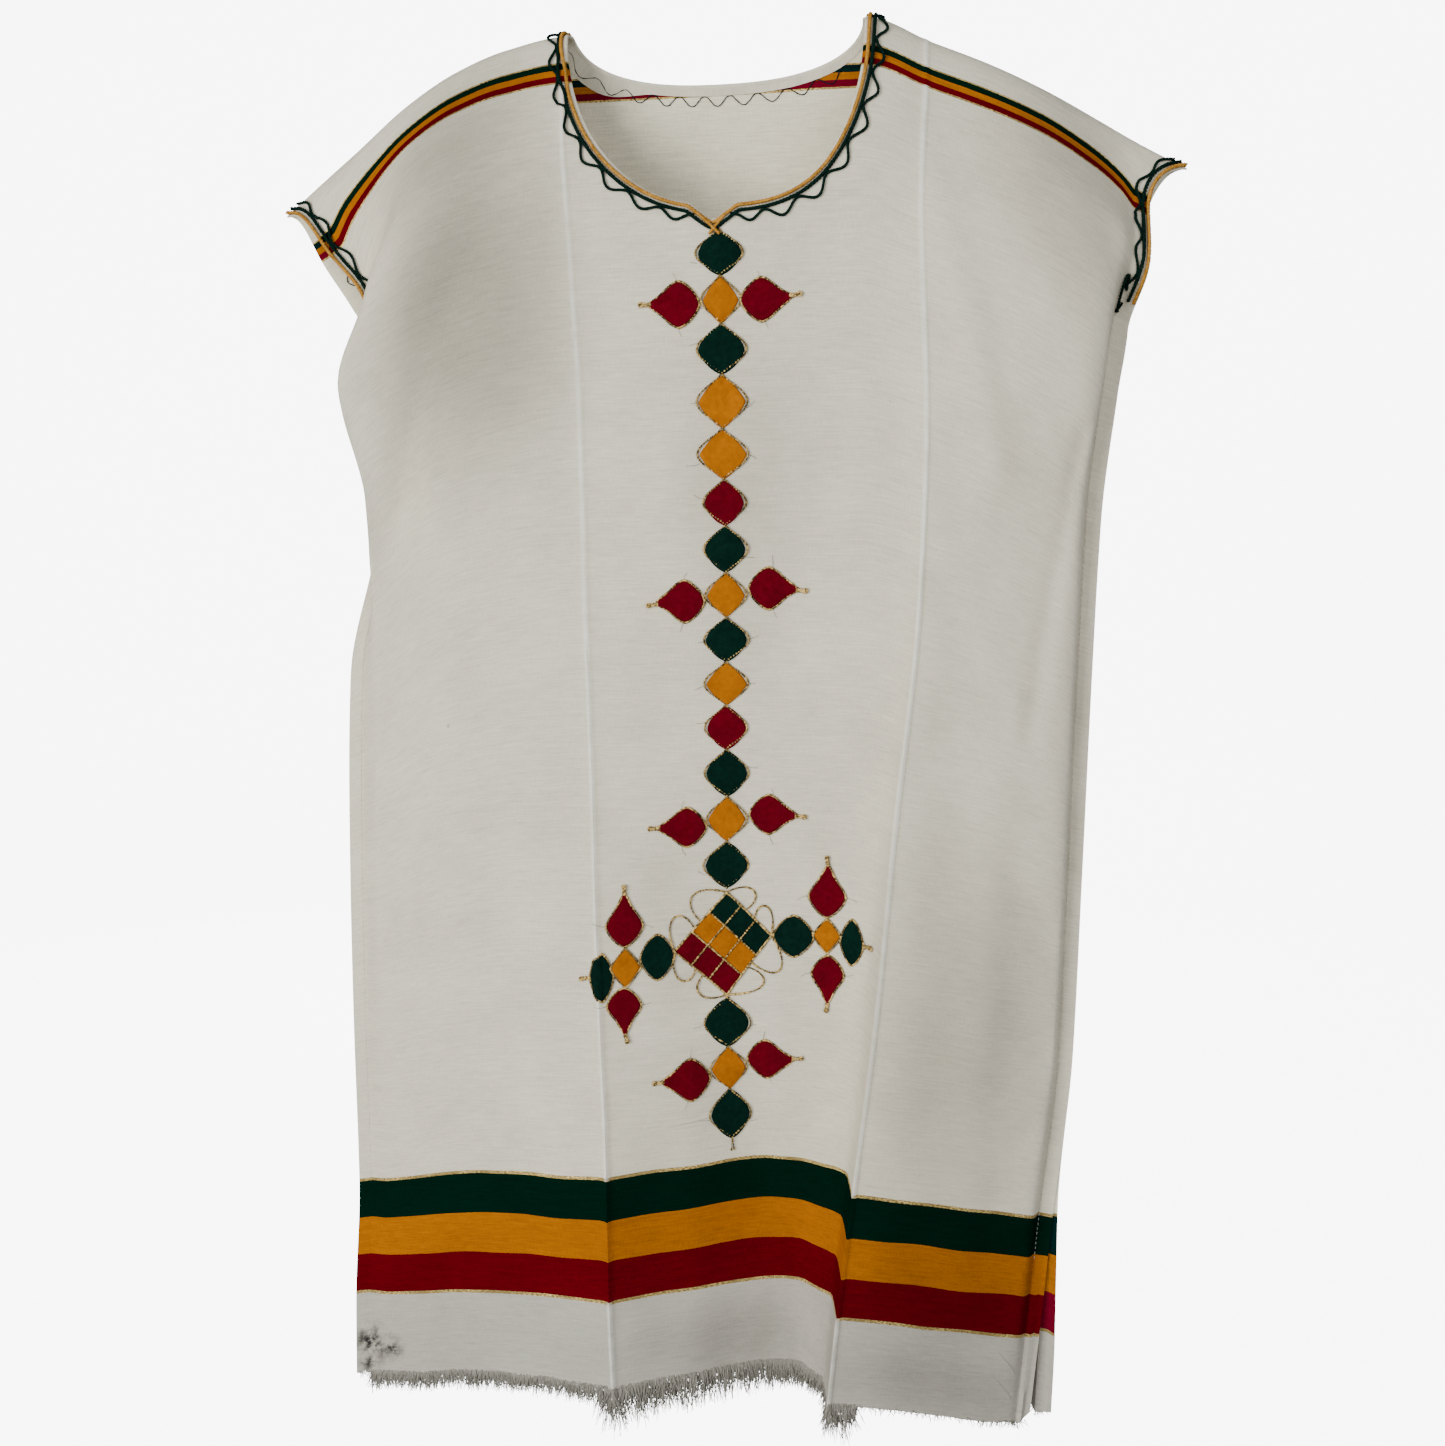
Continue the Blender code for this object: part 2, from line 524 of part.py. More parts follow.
def add_neck_trim(seat, group):
    for name, inset, colour in (("neck_edge_cord", EDGE_CORD_INSET, "yellow"),
                                ("neck_green_cord", GREEN_CORD_INSET, "green")):
        edge, _ = spaced(neck_loop(720, True), 96, True)
        path, _ = spaced(pushed_out(edge, inset, True), 88, True)
        lifted = seat.cord_path(path[:, 0] / HALF_CLOTH, path[:, 1], CORD_RADIUS, True)
        add_cord(name, lifted, CORD_RADIUS, colour, True, group)
    loop, _ = spaced(neck_loop(720, False), 900, True)
    kept = (abs(loop[:, 0] - neck_share(0) * HALF_CLOTH) > NOTCH_CLEAR) | (loop[:, 1] < 0)
    loop = np.roll(loop, -int(np.argmax(kept)), axis=0)[:int(kept.sum())]
    path, at = spaced(loop, 150, False)
    periods = round(at[-1] / NECK_WAVE_PERIOD)
    path = pushed_out(path, wave(at, at[-1] / periods), False)
    lifted = seat.cord_path(path[:, 0] / HALF_CLOTH, path[:, 1], WAVE_RADIUS, False)
    add_cord("neck_wave_cord", lifted, WAVE_RADIUS, "green", False, group)


def add_sleeve_trim(side_name, side, seat, group):
    def lay(name, along, inset, radius, colour):
        share = side * (1 - inset / SLEEVE_EDGE_SCALE)
        lifted = seat.cord_path(share, along, radius, False)
        add_cord(side_name + name, lifted, radius, colour, False, group)

    front_end, back_end = SLEEVE_TRIM_ENDS[side_name]
    ways = np.linspace(-1, 1, 31)
    along = np.sign(ways) * np.where(ways > 0, front_end, back_end) * abs(ways) ** 1.4
    lay("_sleeve_edge_cord", along, EDGE_CORD_INSET, CORD_RADIUS, "yellow")
    lay("_sleeve_green_cord", along, GREEN_CORD_INSET, CORD_RADIUS, "green")
    along = np.linspace(SLEEVE_WAVE_SHORT - back_end, front_end - SLEEVE_WAVE_SHORT, 67)
    lay("_sleeve_wave_cord", along, wave(along, SLEEVE_WAVE_PERIOD), WAVE_RADIUS, "green")


def chain_share(down):
    return CHAIN_LEAN_TOP - CHAIN_LEAN * smooth_step(380 * MM, 860 * MM, down)


def share_beside(across, down):
    """The front panel's share where the cloth lies a distance across from the chain's middle."""
    shares = np.linspace(-0.6, 0.8, 281)
    found = []
    for far, low in zip(across, down):
        x = section_at("front", shares, np.full(len(shares), low))[0]
        found.append(np.interp(np.interp(chain_share(low), shares, x) + far, x, shares))
    return np.array(found)


def patch_outline(height, width, tail_across=0.0, tail_down=0.0):
    """Rounded diamond, with its outer corner drawn out into a tail."""
    angle = np.linspace(0, 2 * math.pi, PATCH_POINTS, endpoint=False)
    across = 0.5 * width * np.sign(np.cos(angle)) * np.abs(np.cos(angle)) ** PATCH_POWER
    down = 0.5 * height * np.sign(np.sin(angle)) * np.abs(np.sin(angle)) ** PATCH_POWER
    if tail_across:
        outward = np.clip(np.cos(angle) * np.sign(tail_across), 0, 1)
        across = across + tail_across * outward**8
    if tail_down:
        outward = np.clip(np.sin(angle) * np.sign(tail_down), 0, 1)
        down = down + tail_down * outward**8
    return np.column_stack([across, down])


def add_patch(name, colour, down, across, outline, seat, group):
    """A raised piece of cloth with a soft edge, lying on the front panel."""
    count = len(outline)
    rings = ((1.0, 0.0), (1.0, 0.7 * PATCH_THICK), (0.86, PATCH_THICK))

    def place(scale, height):
        beside, low = across + outline[:, 0] * scale, down + outline[:, 1] * scale
        return seat.lift(share_beside(beside, low), low, LIE_GAP + height)

    rim, outs = place(1.0, 0.0)
    hub = place(0.0, 0.0)[0][0]
    sides = list(zip(rim, rim[1:] + rim[:1], outs))
    spots = [(a.lerp(b, part), out) for a, b, out in sides for part in (0.25, 0.5, 0.75)]
    spots += [(a.lerp(hub, part), out) for a, out in zip(rim, outs) for part in (0.2, 0.4, 0.6, 0.8)]
    spots += [((a + b + hub) / 3, out) for a, b, out in sides]
    raised = max(0.0, 0.7 * LIE_GAP - min(seat.height(spot, out) for spot, out in spots))
    points, faces = [], []
    for scale, height in rings:
        points += place(scale, height + raised)[0]
    bottom = len(points)
    points += [place(0.0, raised)[0][0], place(0.0, PATCH_THICK + PATCH_CROWN + raised)[0][0]]
    for i in range(count):
        j = (i + 1) % count
        for low in range(len(rings) - 1):
            a, b = low * count + i, low * count + j
            faces += [(a, b, b + count), (a, b + count, a + count)]
        faces.append((bottom, j, i))
        faces.append((bottom + 1, 2 * count + i, 2 * count + j))
    add_object(name, points, faces, colour, group)


def add_chain(rows, top, first_number, seat, group):
    for number, (colour, height, width) in enumerate(rows, first_number):
        middle = top + height * MM / 2
        outline = patch_outline(height * MM - CHAIN_GAP, width * MM)
        add_patch("chain_patch_%02d" % number, colour, middle, 0.0, outline, seat, group)
        top += height * MM


def corners_with_middles(corners):
    """A straight-sided outline with two extra points along each side."""
    corners = np.array(corners, float) * MM
    following = np.roll(corners, -1, axis=0)
    return np.vstack([a + (b - a) * share for a, b in zip(corners, following) for share in (0, 1 / 3, 2 / 3)])


def add_motif(seat, group):
    add_chain(UPPER_CHAIN, UPPER_CHAIN_TOP, 1, seat, group)
    add_chain(LOWER_CHAIN, LOWER_CHAIN_TOP, len(UPPER_CHAIN) + 1, seat, group)
    for name, down, across, height, width, tail in SIDE_DROPS:
        outline = patch_outline(height * MM, width * MM, tail_across=math.copysign(tail, across) * MM)
        add_patch(name, "red", down * MM, across * MM, outline, seat, group)
    add_patch("medallion", "yellow", MEDALLION_DOWN, 0.0, corners_with_middles(MEDALLION), seat, group)
    for name, colour, down, across, height, width, tip in ARM_PATCHES:
        outline = patch_outline(height * MM, width * MM, tail_down=tip * MM)
        add_patch(name, colour, down * MM, across * MM, outline, seat, group)


def add_fringe(name, side, group):
    """A narrow strip of loose weft with warp ends hanging from it, parted from the cloth's end."""
    chance = random.Random(len(name))
    away = -1 if side == "front" else 1
    half = STRAND_WIDTH / (2 * HALF_CLOTH)
    stops = []
    for share in np.linspace(-0.985, 0.985, STRANDS):
        stops += [share - half, share + half]
    stops = np.array(stops)
    top = CLOTH_LENGTH + 1.5 * SEAM_GAP
    points = []
    for down in (top, top + FRINGE_STRIP):
        middle = cloth_points(side, stops, np.full(len(stops), CLOTH_LENGTH))
        middle[:, 2] -= down - CLOTH_LENGTH
        near_seam = abs(stops) > 0.9
        least = (SEAM_GAP + WALL) / 2
        middle[near_seam, 1] = away * np.maximum(away * middle[near_seam, 1], least)
        for offset in (-WALL / 2, WALL / 2):
            points += [tuple(point + np.array([0, offset, 0])) for point in middle]
    count = len(stops)
    faces = []
    for k in range(count - 1):
        a, b, c, d = k, count + k, 2 * count + k, 3 * count + k
        faces += [(a, b, b + 1, a + 1), (a, a + 1, c + 1, c), (b, d, d + 1, b + 1)]
        if k % 2:
            faces.append((c, c + 1, d + 1, d))
            continue
        root = sum((Vector(points[corner]) for corner in (c, c + 1, d, d + 1)), Vector()) / 4
        length = FRINGE_LENGTH + chance.uniform(-1, 1) * FRINGE_SPREAD
        tip = root + Vector((chance.uniform(-1.5, 1.5) * MM, chance.uniform(0, 1.0) * away * MM, -length))
        points.append(tuple(tip))
        last = len(points) - 1
        faces += [(c, c + 1, last), (c + 1, d + 1, last), (d + 1, d, last), (d, c, last)]
    end = count - 1
    faces += [(0, 2 * count, 3 * count, count), (end, count + end, 3 * count + end, 2 * count + end)]
    add_object(name, points, faces, "cotton", group)


def main():
    clear_scene()
    group = bpy.data.collections.new("habesha kemis dress")
    bpy.context.scene.collection.children.link(group)
    front = wall_grid("front", LEFT_COLUMNS, NECK_COLUMNS, RIGHT_COLUMNS, FRONT_ROWS)
    back = wall_grid("back", BACK_LEFT_COLUMNS, BACK_NECK_COLUMNS, BACK_RIGHT_COLUMNS, BACK_ROWS)
    skins = [add_panel("front_panel", "front", front, group), add_panel("back_panel", "back", back, group)]
    seat = Seat(skins)
    add_neck_trim(seat, group)
    add_sleeve_trim("left", -1, seat, group)
    add_sleeve_trim("right", 1, seat, group)
    add_motif(seat, group)
    add_fringe("front_fringe", "front", group)
    add_fringe("back_fringe", "back", group)


main()
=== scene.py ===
# Looks of a hand-woven cotton tunic dress, hanging open as it does when worn.
# Lengths are in metres. The front faces -Y, and shares run across the cloth from -1 to 1.
import json
import math
import random

import bmesh
import bpy
import numpy as np
from mathutils import Matrix, Vector

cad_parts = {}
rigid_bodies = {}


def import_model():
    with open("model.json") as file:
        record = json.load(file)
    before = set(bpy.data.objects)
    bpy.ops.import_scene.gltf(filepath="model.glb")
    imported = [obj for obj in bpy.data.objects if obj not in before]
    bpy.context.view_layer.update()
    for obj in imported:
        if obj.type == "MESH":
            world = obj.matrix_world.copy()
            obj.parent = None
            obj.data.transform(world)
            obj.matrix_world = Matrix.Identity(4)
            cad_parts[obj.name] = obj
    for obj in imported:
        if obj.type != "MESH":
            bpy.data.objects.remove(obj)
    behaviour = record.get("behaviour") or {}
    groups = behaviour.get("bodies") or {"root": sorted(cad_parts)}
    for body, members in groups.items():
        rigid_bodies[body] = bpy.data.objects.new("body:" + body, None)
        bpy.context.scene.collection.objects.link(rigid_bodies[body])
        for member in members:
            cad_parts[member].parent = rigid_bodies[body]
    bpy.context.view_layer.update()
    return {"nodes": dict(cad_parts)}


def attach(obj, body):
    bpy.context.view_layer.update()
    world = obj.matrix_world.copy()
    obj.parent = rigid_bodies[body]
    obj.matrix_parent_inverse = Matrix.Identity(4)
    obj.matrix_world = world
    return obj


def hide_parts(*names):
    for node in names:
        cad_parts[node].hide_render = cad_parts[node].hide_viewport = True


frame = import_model()
print("frame loaded:", len(frame["nodes"]), "nodes")

scene = bpy.context.scene
mm = 0.001    # tables in millimetres are multiplied by this

# Shape of the cloth: the same named sizes and sections as the solids have
cloth = {
    "halfWidth": 0.370, "length": 1.093, "wall": 0.0012, "foldRoll": 0.012, "underarm": 0.135,
    "seamMargin": 0.012, "hemSag": 0.032, "seamAt": 0.965, "seamGap": 0.0003}
shoulder = ((0, 0, 0), (112, 0, 0), (160, 8, 20), (200, 22, 37), (240, 44, 57), (280, 73, 80), (310, 95, 98),
            (343, 120, 116))
stations = {
    "front": (-1.0, -0.88, -0.66, -0.30, 0.10, 0.385, 0.43, 0.72, 0.90, 1.0),
    "back": (-1.0, -0.85, -0.45, 0.0, 0.45, 0.85, 1.0)}
creases = {"front": (-0.30, 0.43), "back": ()}
sections = {
    "front": (    # down, then x and y at each station, in mm
        (0, -343, 0, -303, 0, -230, 0, -111, 0, 37, 0, 140, 0, 156, 0, 250, 0, 309, 0, 343, 0),
        (45, -308, -12, -281, -20, -222, -32, -111, -22, 37, -24, 140, -24, 156, -24, 246, -30, 294, -16, 316, -12),
        (90, -280, -8, -262, -20, -226, -46, -110, -36, 37, -38, 138, -38, 154, -38, 246, -48, 294, -38, 315, -26),
        (135, -276, -1, -270, -36, -229, -56, -107, -44, 37, -46, 136, -46, 153, -46, 243, -54, 288, -40, 305, -1),
        (195, -276, -1, -290, -44, -235, -50, -103, -49, 37, -50, 135, -48, 155, -50, 240, -52, 283, -36, 298, -1),
        (290, -282, -1, -276, -36, -231, -42, -100, -51, 37, -49, 140, -50, 158, -53, 233, -44, 272, -26, 289, -1),
        (420, -311, -1, -276, -26, -226, -38, -100, -50, 37, -42, 138, -46, 154, -52, 226, -40, 268, -24, 285, -1),
        (600, -321, -1, -285, -22, -228, -34, -99, -48, 37, -27, 122, -34, 136, -48, 224, -36, 264, -22, 281, -1),
        (760, -326, -1, -290, -18, -230, -30, -99, -46, 37, -8, 110, -20, 121, -44, 214, -33, 259, -18, 277, -1),
        (905, -329, -1, -292, -12, -228, -22, -98, -43, 37, 9, 96, -6, 103, -40, 200, -28, 246, -14, 264, -1),
        (1015, -338, -1, -298, -10, -228, -18, -99, -42, 37, 11, 83, -4, 90, -38, 186, -26, 236, -13, 255, -4),
        (1093, -342, -1, -301, -8, -230, -14, -98, -41, 37, 12, 76, -4, 82, -36, 176, -24, 229, -12, 248, -6)),
    "back": (
        (0, -343, 0, -293, 0, -162, 0, 0, 0, 160, 0, 293, 0, 343, 0),
        (45, -322, 6, -284, 16, -161, 22, 0, 24, 160, 22, 284, 16, 316, 4),
        (90, -298, 8, -270, 28, -160, 38, 0, 40, 158, 38, 276, 30, 306, 8),
        (135, -276, 1, -260, 36, -158, 52, 0, 54, 156, 52, 270, 36, 305, 1),
        (195, -276, 1, -256, 44, -157, 62, 0, 64, 155, 62, 266, 42, 298, 1),
        (290, -282, 1, -256, 48, -156, 72, 0, 74, 152, 70, 262, 46, 289, 1),
        (420, -311, 1, -268, 48, -156, 76, 0, 76, 151, 74, 260, 46, 285, 1),
        (600, -321, 1, -276, 46, -156, 78, 0, 74, 150, 78, 256, 46, 281, 1),
        (760, -326, 1, -282, 44, -156, 80, 0, 72, 146, 80, 252, 44, 277, 1),
        (905, -329, 1, -286, 42, -156, 82, 0, 70, 142, 82, 246, 42, 268, 1),
        (1015, -338, 1, -290, 42, -158, 84, 0, 70, 138, 84, 244, 42, 268, 6),
        (1093, -342, 1, -296, 42, -160, 86, 0, 70, 134, 86, 242, 44, 266, 10))}
softFolds = (    # panel, from share and mm down, to share and mm down, half width, depth inwards
    ("front", -0.47, 140, -0.74, 330, 30, 9), ("front", -0.56, 420, -0.50, 880, 34, 4),
    ("front", 0.86, 250, 0.76, 500, 11, 3), ("front", 0.46, 120, 0.62, 300, 20, -4),
    ("front", 0.66, 560, 0.72, 980, 24, -4), ("front", -0.10, 800, -0.12, 1080, 22, -3),
    ("back", -0.56, 300, -0.50, 1090, 34, 7), ("back", -0.14, 420, -0.20, 1090, 30, -6),
    ("back", 0.14, 260, 0.20, 1090, 34, 7), ("back", 0.56, 360, 0.52, 1090, 30, -6),
    ("back", 0.50, 110, 0.72, 300, 28, 6), ("back", -0.50, 120, -0.70, 300, 28, 6))


def smoothStep(low, high, value):
    share = np.clip((value - low) / (high - low), 0.0, 1.0)
    return share * share * (3 - 2 * share)


# Curve through a row of values for each place, without overshoot
def through(knots, values, at):
    step = np.diff(knots)
    slope = np.diff(values, axis=1) / step
    tangent = np.zeros_like(values)
    tangent[:, 0], tangent[:, -1] = slope[:, 0], slope[:, -1]
    before, after = slope[:, :-1], slope[:, 1:]
    sameWay = before * after > 0
    safe = np.where(sameWay, before + after, 1.0)
    tangent[:, 1:-1] = np.where(sameWay, 2 * before * after / safe, 0.0)
    k = np.clip(np.searchsorted(knots, at, side="right") - 1, 0, len(knots) - 2)
    row = np.arange(len(at))
    width = step[k]
    t = (at - knots[k]) / width
    return ((2 * t**3 - 3 * t**2 + 1) * values[row, k] + (t**3 - 2 * t**2 + t) * width * tangent[row, k]
            + (3 * t**2 - 2 * t**3) * values[row, k + 1] + (t**3 - t**2) * width * tangent[row, k + 1])


def oneCurve(knots, values, at):
    return through(knots, np.broadcast_to(values, (len(at), len(values))), at)


def rolled(down):
    return 1 - np.exp(-down / cloth["foldRoll"])


def panelTable(side):
    table = np.array(sections[side], float) * mm
    down, x, y = table[:, 0], table[:, 1::2], table[:, 2::2]
    across = np.array(stations[side])
    sewn = down >= cloth["underarm"] - 0.001
    seamX, seamY = {}, {}
    for hand, edge, inner in ((-1, 0, 1), (1, -1, -2)):
        seamX[hand] = x[:, edge] - hand * cloth["seamMargin"]
        seamY[hand] = np.where(sewn, y[:, edge], y[:, edge] + 0.3 * (y[:, inner] - y[:, edge]))
    across = np.concatenate([[across[0], -cloth["seamAt"]], across[1:-1], [cloth["seamAt"], across[-1]]])
    x = np.column_stack([x[:, 0], seamX[-1], x[:, 1:-1], seamX[1], x[:, -1]])
    y = np.column_stack([y[:, 0], seamY[-1], y[:, 1:-1], seamY[1], y[:, -1]])
    return down + 2.5 * cloth["foldRoll"] * rolled(down), across, x, y


panels = {side: (panelTable(side), (-cloth["seamAt"], *creases[side], cloth["seamAt"])) for side in sections}


def sectionAt(side, share, down):
    (knots, across, xTable, yTable), sharp = panels[side]
    at = down + 2.5 * cloth["foldRoll"] * rolled(down)
    stops = [0, *(int(np.argmin(abs(across - crease))) for crease in sharp), len(across) - 1]
    xs = np.column_stack([oneCurve(knots, column, at) for column in xTable.T])
    ys = np.column_stack([oneCurve(knots, column, at) for column in yTable.T])
    x, y = np.zeros(len(share)), np.zeros(len(share))
    for first, last in zip(stops[:-1], stops[1:]):
        here = (share >= across[first]) & (share <= across[last])
        if here.any():
            stretch = slice(first, last + 1)
            x[here] = through(across[stretch], xs[here, stretch], share[here])
            y[here] = through(across[stretch], ys[here, stretch], share[here])
    return x, y


def foldDepth(side, share, down):
    depth = np.zeros(len(share))
    for panel, shareA, downA, shareB, downB, halfWidth, inwards in softFolds:
        if panel != side:
            continue
        start = np.array([shareA * cloth["halfWidth"], downA * mm])
        run = np.array([shareB * cloth["halfWidth"], downB * mm]) - start
        spot = np.column_stack([share * cloth["halfWidth"], down]) - start
        along = np.clip(spot @ run / (run @ run), 0, 1)
        apart = np.linalg.norm(spot - along[:, None] * run, axis=1)
        depth += inwards * mm * np.exp(-(apart / (halfWidth * mm))**2)
    return depth * smoothStep(0.0, 0.14, cloth["seamAt"] - abs(share)) * smoothStep(0.020, 0.070, down)


def shoulderDrop(x):
    distance, left, right = np.array(shoulder, float).T * mm
    return np.where(x < 0, oneCurve(distance, left, abs(x)), oneCurve(distance, right, abs(x)))


def clothPoints(side, share, down):
    share, down = np.broadcast_arrays(np.atleast_1d(share).astype(float), np.atleast_1d(down).astype(float))
    share = np.clip(share, -1.0, 1.0)
    x, y = sectionAt(side, share, down)
    foldX, _ = sectionAt(side, share, np.zeros(len(down)))
    y = y + (1 if side == "front" else -1) * (foldDepth(side, share, down) - relief(side, share, down))
    fallen = down / cloth["length"]
    lost = shoulderDrop(foldX) * (1 - fallen) + cloth["hemSag"] * share**2 * fallen**4
    return np.column_stack([x, y, -(lost + down - cloth["foldRoll"] * rolled(down))])


# Small relief that the solids leave out: pressed ridges and the soft cockle of hand-woven cloth
cockle = {"waves": 22, "shortest": 0.035, "longest": 0.19, "height": 0.0020, "ridge": 0.0027, "ridgeWidth": 0.0024,
          "seed": 11}
cockleWaves = []
chance = random.Random(cockle["seed"])
for _ in range(cockle["waves"]):
    length = chance.uniform(cockle["shortest"], cockle["longest"])
    turn = chance.gauss(0.0, 0.5)
    cockleWaves.append((math.cos(turn) / length, math.sin(turn) / length, chance.uniform(0, 6.28),
                        length / cockle["longest"]))


def relief(side, share, down):
    u, v = share * cloth["halfWidth"], down + (3.0 if side == "back" else 0.0)
    height = sum(size * np.sin(6.2832 * (u * alongU + v * alongV) + phase)
                 for alongU, alongV, phase, size in cockleWaves)
    height = height * cockle["height"] / math.sqrt(cockle["waves"] / 2)
    height = height * smoothStep(0.0, 0.10, cloth["seamAt"] - abs(share)) * smoothStep(0.02, 0.12, down)
    if side == "front":
        grown = 0.55 + 0.45 * smoothStep(0.2, 0.95, down)
        for crease in creases["front"]:
            apart = (share - crease) * cloth["halfWidth"]
            height = height + cockle["ridge"] * grown * np.exp(-(apart / cockle["ridgeWidth"])**2)
    return height


# Points and outward normals on the unfolded cloth: along is plus on the front, minus on the back
def openCloth(share, along):
    share, along = np.broadcast_arrays(np.atleast_1d(share).astype(float), np.atleast_1d(along).astype(float))
    reach = 0.0004

    def place(s, a):
        points, front = np.zeros((len(a), 3)), a >= 0
        for side, here in (("front", front), ("back", ~front)):
            if here.any():
                points[here] = clothPoints(side, s[here], abs(a[here]))
        return points

    middle = place(share, along)
    step = np.where(share > 0, -reach, reach) / cloth["halfWidth"]
    byShare = (place(share + step, along) - middle) * np.sign(step)[:, None]
    byAlong = place(share, along + reach) - place(share, along - reach)
    normal = np.cross(byAlong, byShare)
    return middle, normal / np.linalg.norm(normal, axis=1)[:, None]


def onCloth(path):    # the same, from a path of across and along
    return openCloth(path[:, 0] / cloth["halfWidth"], path[:, 1])


# Neck opening, on the unfolded cloth
neck = {"left": -0.300, "right": 0.311, "frontDepth": 0.147, "backDepth": 0.046, "frontPower": (2.2, 2.9),
        "backPower": (2.5, 2.5), "notchDepth": 0.012, "notchHalf": 0.018, "settles": 0.260, "samples": 1440}


def neckHalf():
    return 0.5 * (neck["right"] - neck["left"]) * cloth["halfWidth"]


def neckShare(across):
    return 0.5 * (neck["left"] + neck["right"]) + 0.5 * (neck["right"] - neck["left"]) * across


def neckEdge(side, across):
    power = neck[side + "Power"][0 if across < 0 else 1]
    down = neck[side + "Depth"] * (1 - abs(across) ** power) ** (1 / power)
    if side == "front":
        down += neck["notchDepth"] * max(0.0, 1 - abs(across) * neckHalf() / neck["notchHalf"])
    return down


def neckLoop(notched):
    angle = np.linspace(0, 2 * math.pi, neck["samples"], endpoint=False)
    front, left = np.cos(angle) >= 0, np.sin(angle) < 0
    power = np.where(front, np.where(left, *neck["frontPower"]), np.where(left, *neck["backPower"]))
    across = np.sign(np.sin(angle)) * abs(np.sin(angle)) ** (2 / power)
    depth = np.where(front, neck["frontDepth"], neck["backDepth"])
    along = np.sign(np.cos(angle)) * depth * abs(np.cos(angle)) ** (2 / power)
    if notched:
        near = np.clip(1 - abs(across) * neckHalf() / neck["notchHalf"], 0, 1)
        along = along + front * neck["notchDepth"] * near
    return np.column_stack([neckShare(across) * cloth["halfWidth"], along])


def spaced(path, steps, closed):
    if closed:
        path = np.vstack([path, path[:1]])
    length = np.concatenate([[0], np.cumsum(np.linalg.norm(np.diff(path, axis=0), axis=1))])
    at = np.linspace(0, length[-1], steps, endpoint=not closed)
    return np.column_stack([np.interp(at, length, path[:, 0]), np.interp(at, length, path[:, 1])]), at


def pushedOut(path, distance, closed):
    if closed:
        tangent = np.roll(path, -1, axis=0) - np.roll(path, 1, axis=0)
    else:
        tangent = np.gradient(path, axis=0)
    tangent = tangent / np.linalg.norm(tangent, axis=1)[:, None]
    return path + np.column_stack([-tangent[:, 1], tangent[:, 0]]) * np.reshape(distance, (-1, 1))


# Points over the cloth's outside, from a path of across and along on the unfolded cloth
def lifted(path, height):
    path = np.asarray(path)
    middle, normal = onCloth(path)
    return middle + normal * (cloth["wall"] / 2 + np.reshape(height, (-1, 1)))


# Helpers for node trees
def feed(tree, socket, value):
    if isinstance(value, bpy.types.NodeSocket):
        tree.links.new(value, socket)
    else:
        socket.default_value = value


def put(tree, kind, inputs=None, **settings):
    node = tree.nodes.new(kind)
    for key, value in settings.items():
        setattr(node, key, value)
    for key, value in (inputs or {}).items():
        feed(tree, node.inputs[key], value)
    return node


def sums(tree, operation, *values, clamp=False):
    node = put(tree, "ShaderNodeMath", dict(enumerate(values)), operation=operation)
    node.use_clamp = clamp
    return node.outputs[0]


def plus(tree, total, *more):
    for value in more:
        total = sums(tree, "ADD", total, value)
    return total


def minus(tree, a, b):
    return sums(tree, "SUBTRACT", a, b)


def times(tree, a, b, clamp=False):
    return sums(tree, "MULTIPLY", a, b, clamp=clamp)


def swung(tree, noisy, strength):    # noise about its middle, as plus and minus a strength
    return times(tree, minus(tree, noisy, 0.5), strength)


def ramp(tree, value, read, made=(0.0, 1.0), curve="LINEAR"):    # one span of values read as another
    spans = {"Value": value, "From Min": read[0], "From Max": read[1], "To Min": made[0], "To Max": made[1]}
    return put(tree, "ShaderNodeMapRange", spans, interpolation_type=curve).outputs[0]


def newGroup(name, kind, inputs, outputs):
    tree = bpy.data.node_groups.new(name, kind)
    for label, socket, value in inputs:
        made = tree.interface.new_socket(label, in_out="INPUT", socket_type="NodeSocket" + socket)
        if value is not None:
            made.default_value = value
    for label, socket in outputs:
        tree.interface.new_socket(label, in_out="OUTPUT", socket_type="NodeSocket" + socket)
    return tree, tree.nodes.new("NodeGroupInput"), tree.nodes.new("NodeGroupOutput")


# Geometry trees start with a shape and a finish, and end in plain meshes with that finish
def newMaker(name, *inputs):
    return newGroup(name, "GeometryNodeTree",
                    [("Geometry", "Geometry", None), *inputs, ("Finish", "Material", None)], [("Geometry", "Geometry")])


def handOver(tree, given, gone, shape):
    real = put(tree, "GeometryNodeRealizeInstances", {"Geometry": shape})
    done = put(tree, "GeometryNodeSetMaterial", {"Geometry": real.outputs[0], "Material": given.outputs["Finish"]})
    tree.links.new(done.outputs[0], gone.inputs[0])
    return tree


def setInputs(modifier, values):
    for item in modifier.node_group.interface.items_tree:
        if item.item_type == "SOCKET" and item.in_out == "INPUT" and item.name in values:
            modifier[item.identifier] = values[item.name]


def place(group, tree, inputs):
    node = tree.nodes.new("ShaderNodeGroup")
    node.node_tree = group
    for key, value in inputs.items():
        feed(tree, node.inputs[key], value)
    return node


def newMaterial(name):
    material = bpy.data.materials.new(name)
    material.use_nodes = True
    return material, material.node_tree, material.node_tree.nodes["Principled BSDF"]


def link(tree, source, node, key):
    tree.links.new(source, node.inputs[key])


def noise(tree, vector, scale, detail=2.0, roughness=0.5):
    return put(tree, "ShaderNodeTexNoise", {"Vector": vector, "Scale": scale, "Detail": detail,
                                            "Roughness": roughness}).outputs["Fac"]


def scaled(tree, vector, x, y, z=1.0):
    return put(tree, "ShaderNodeMapping", {"Vector": vector, "Scale": (x, y, z)}).outputs[0]


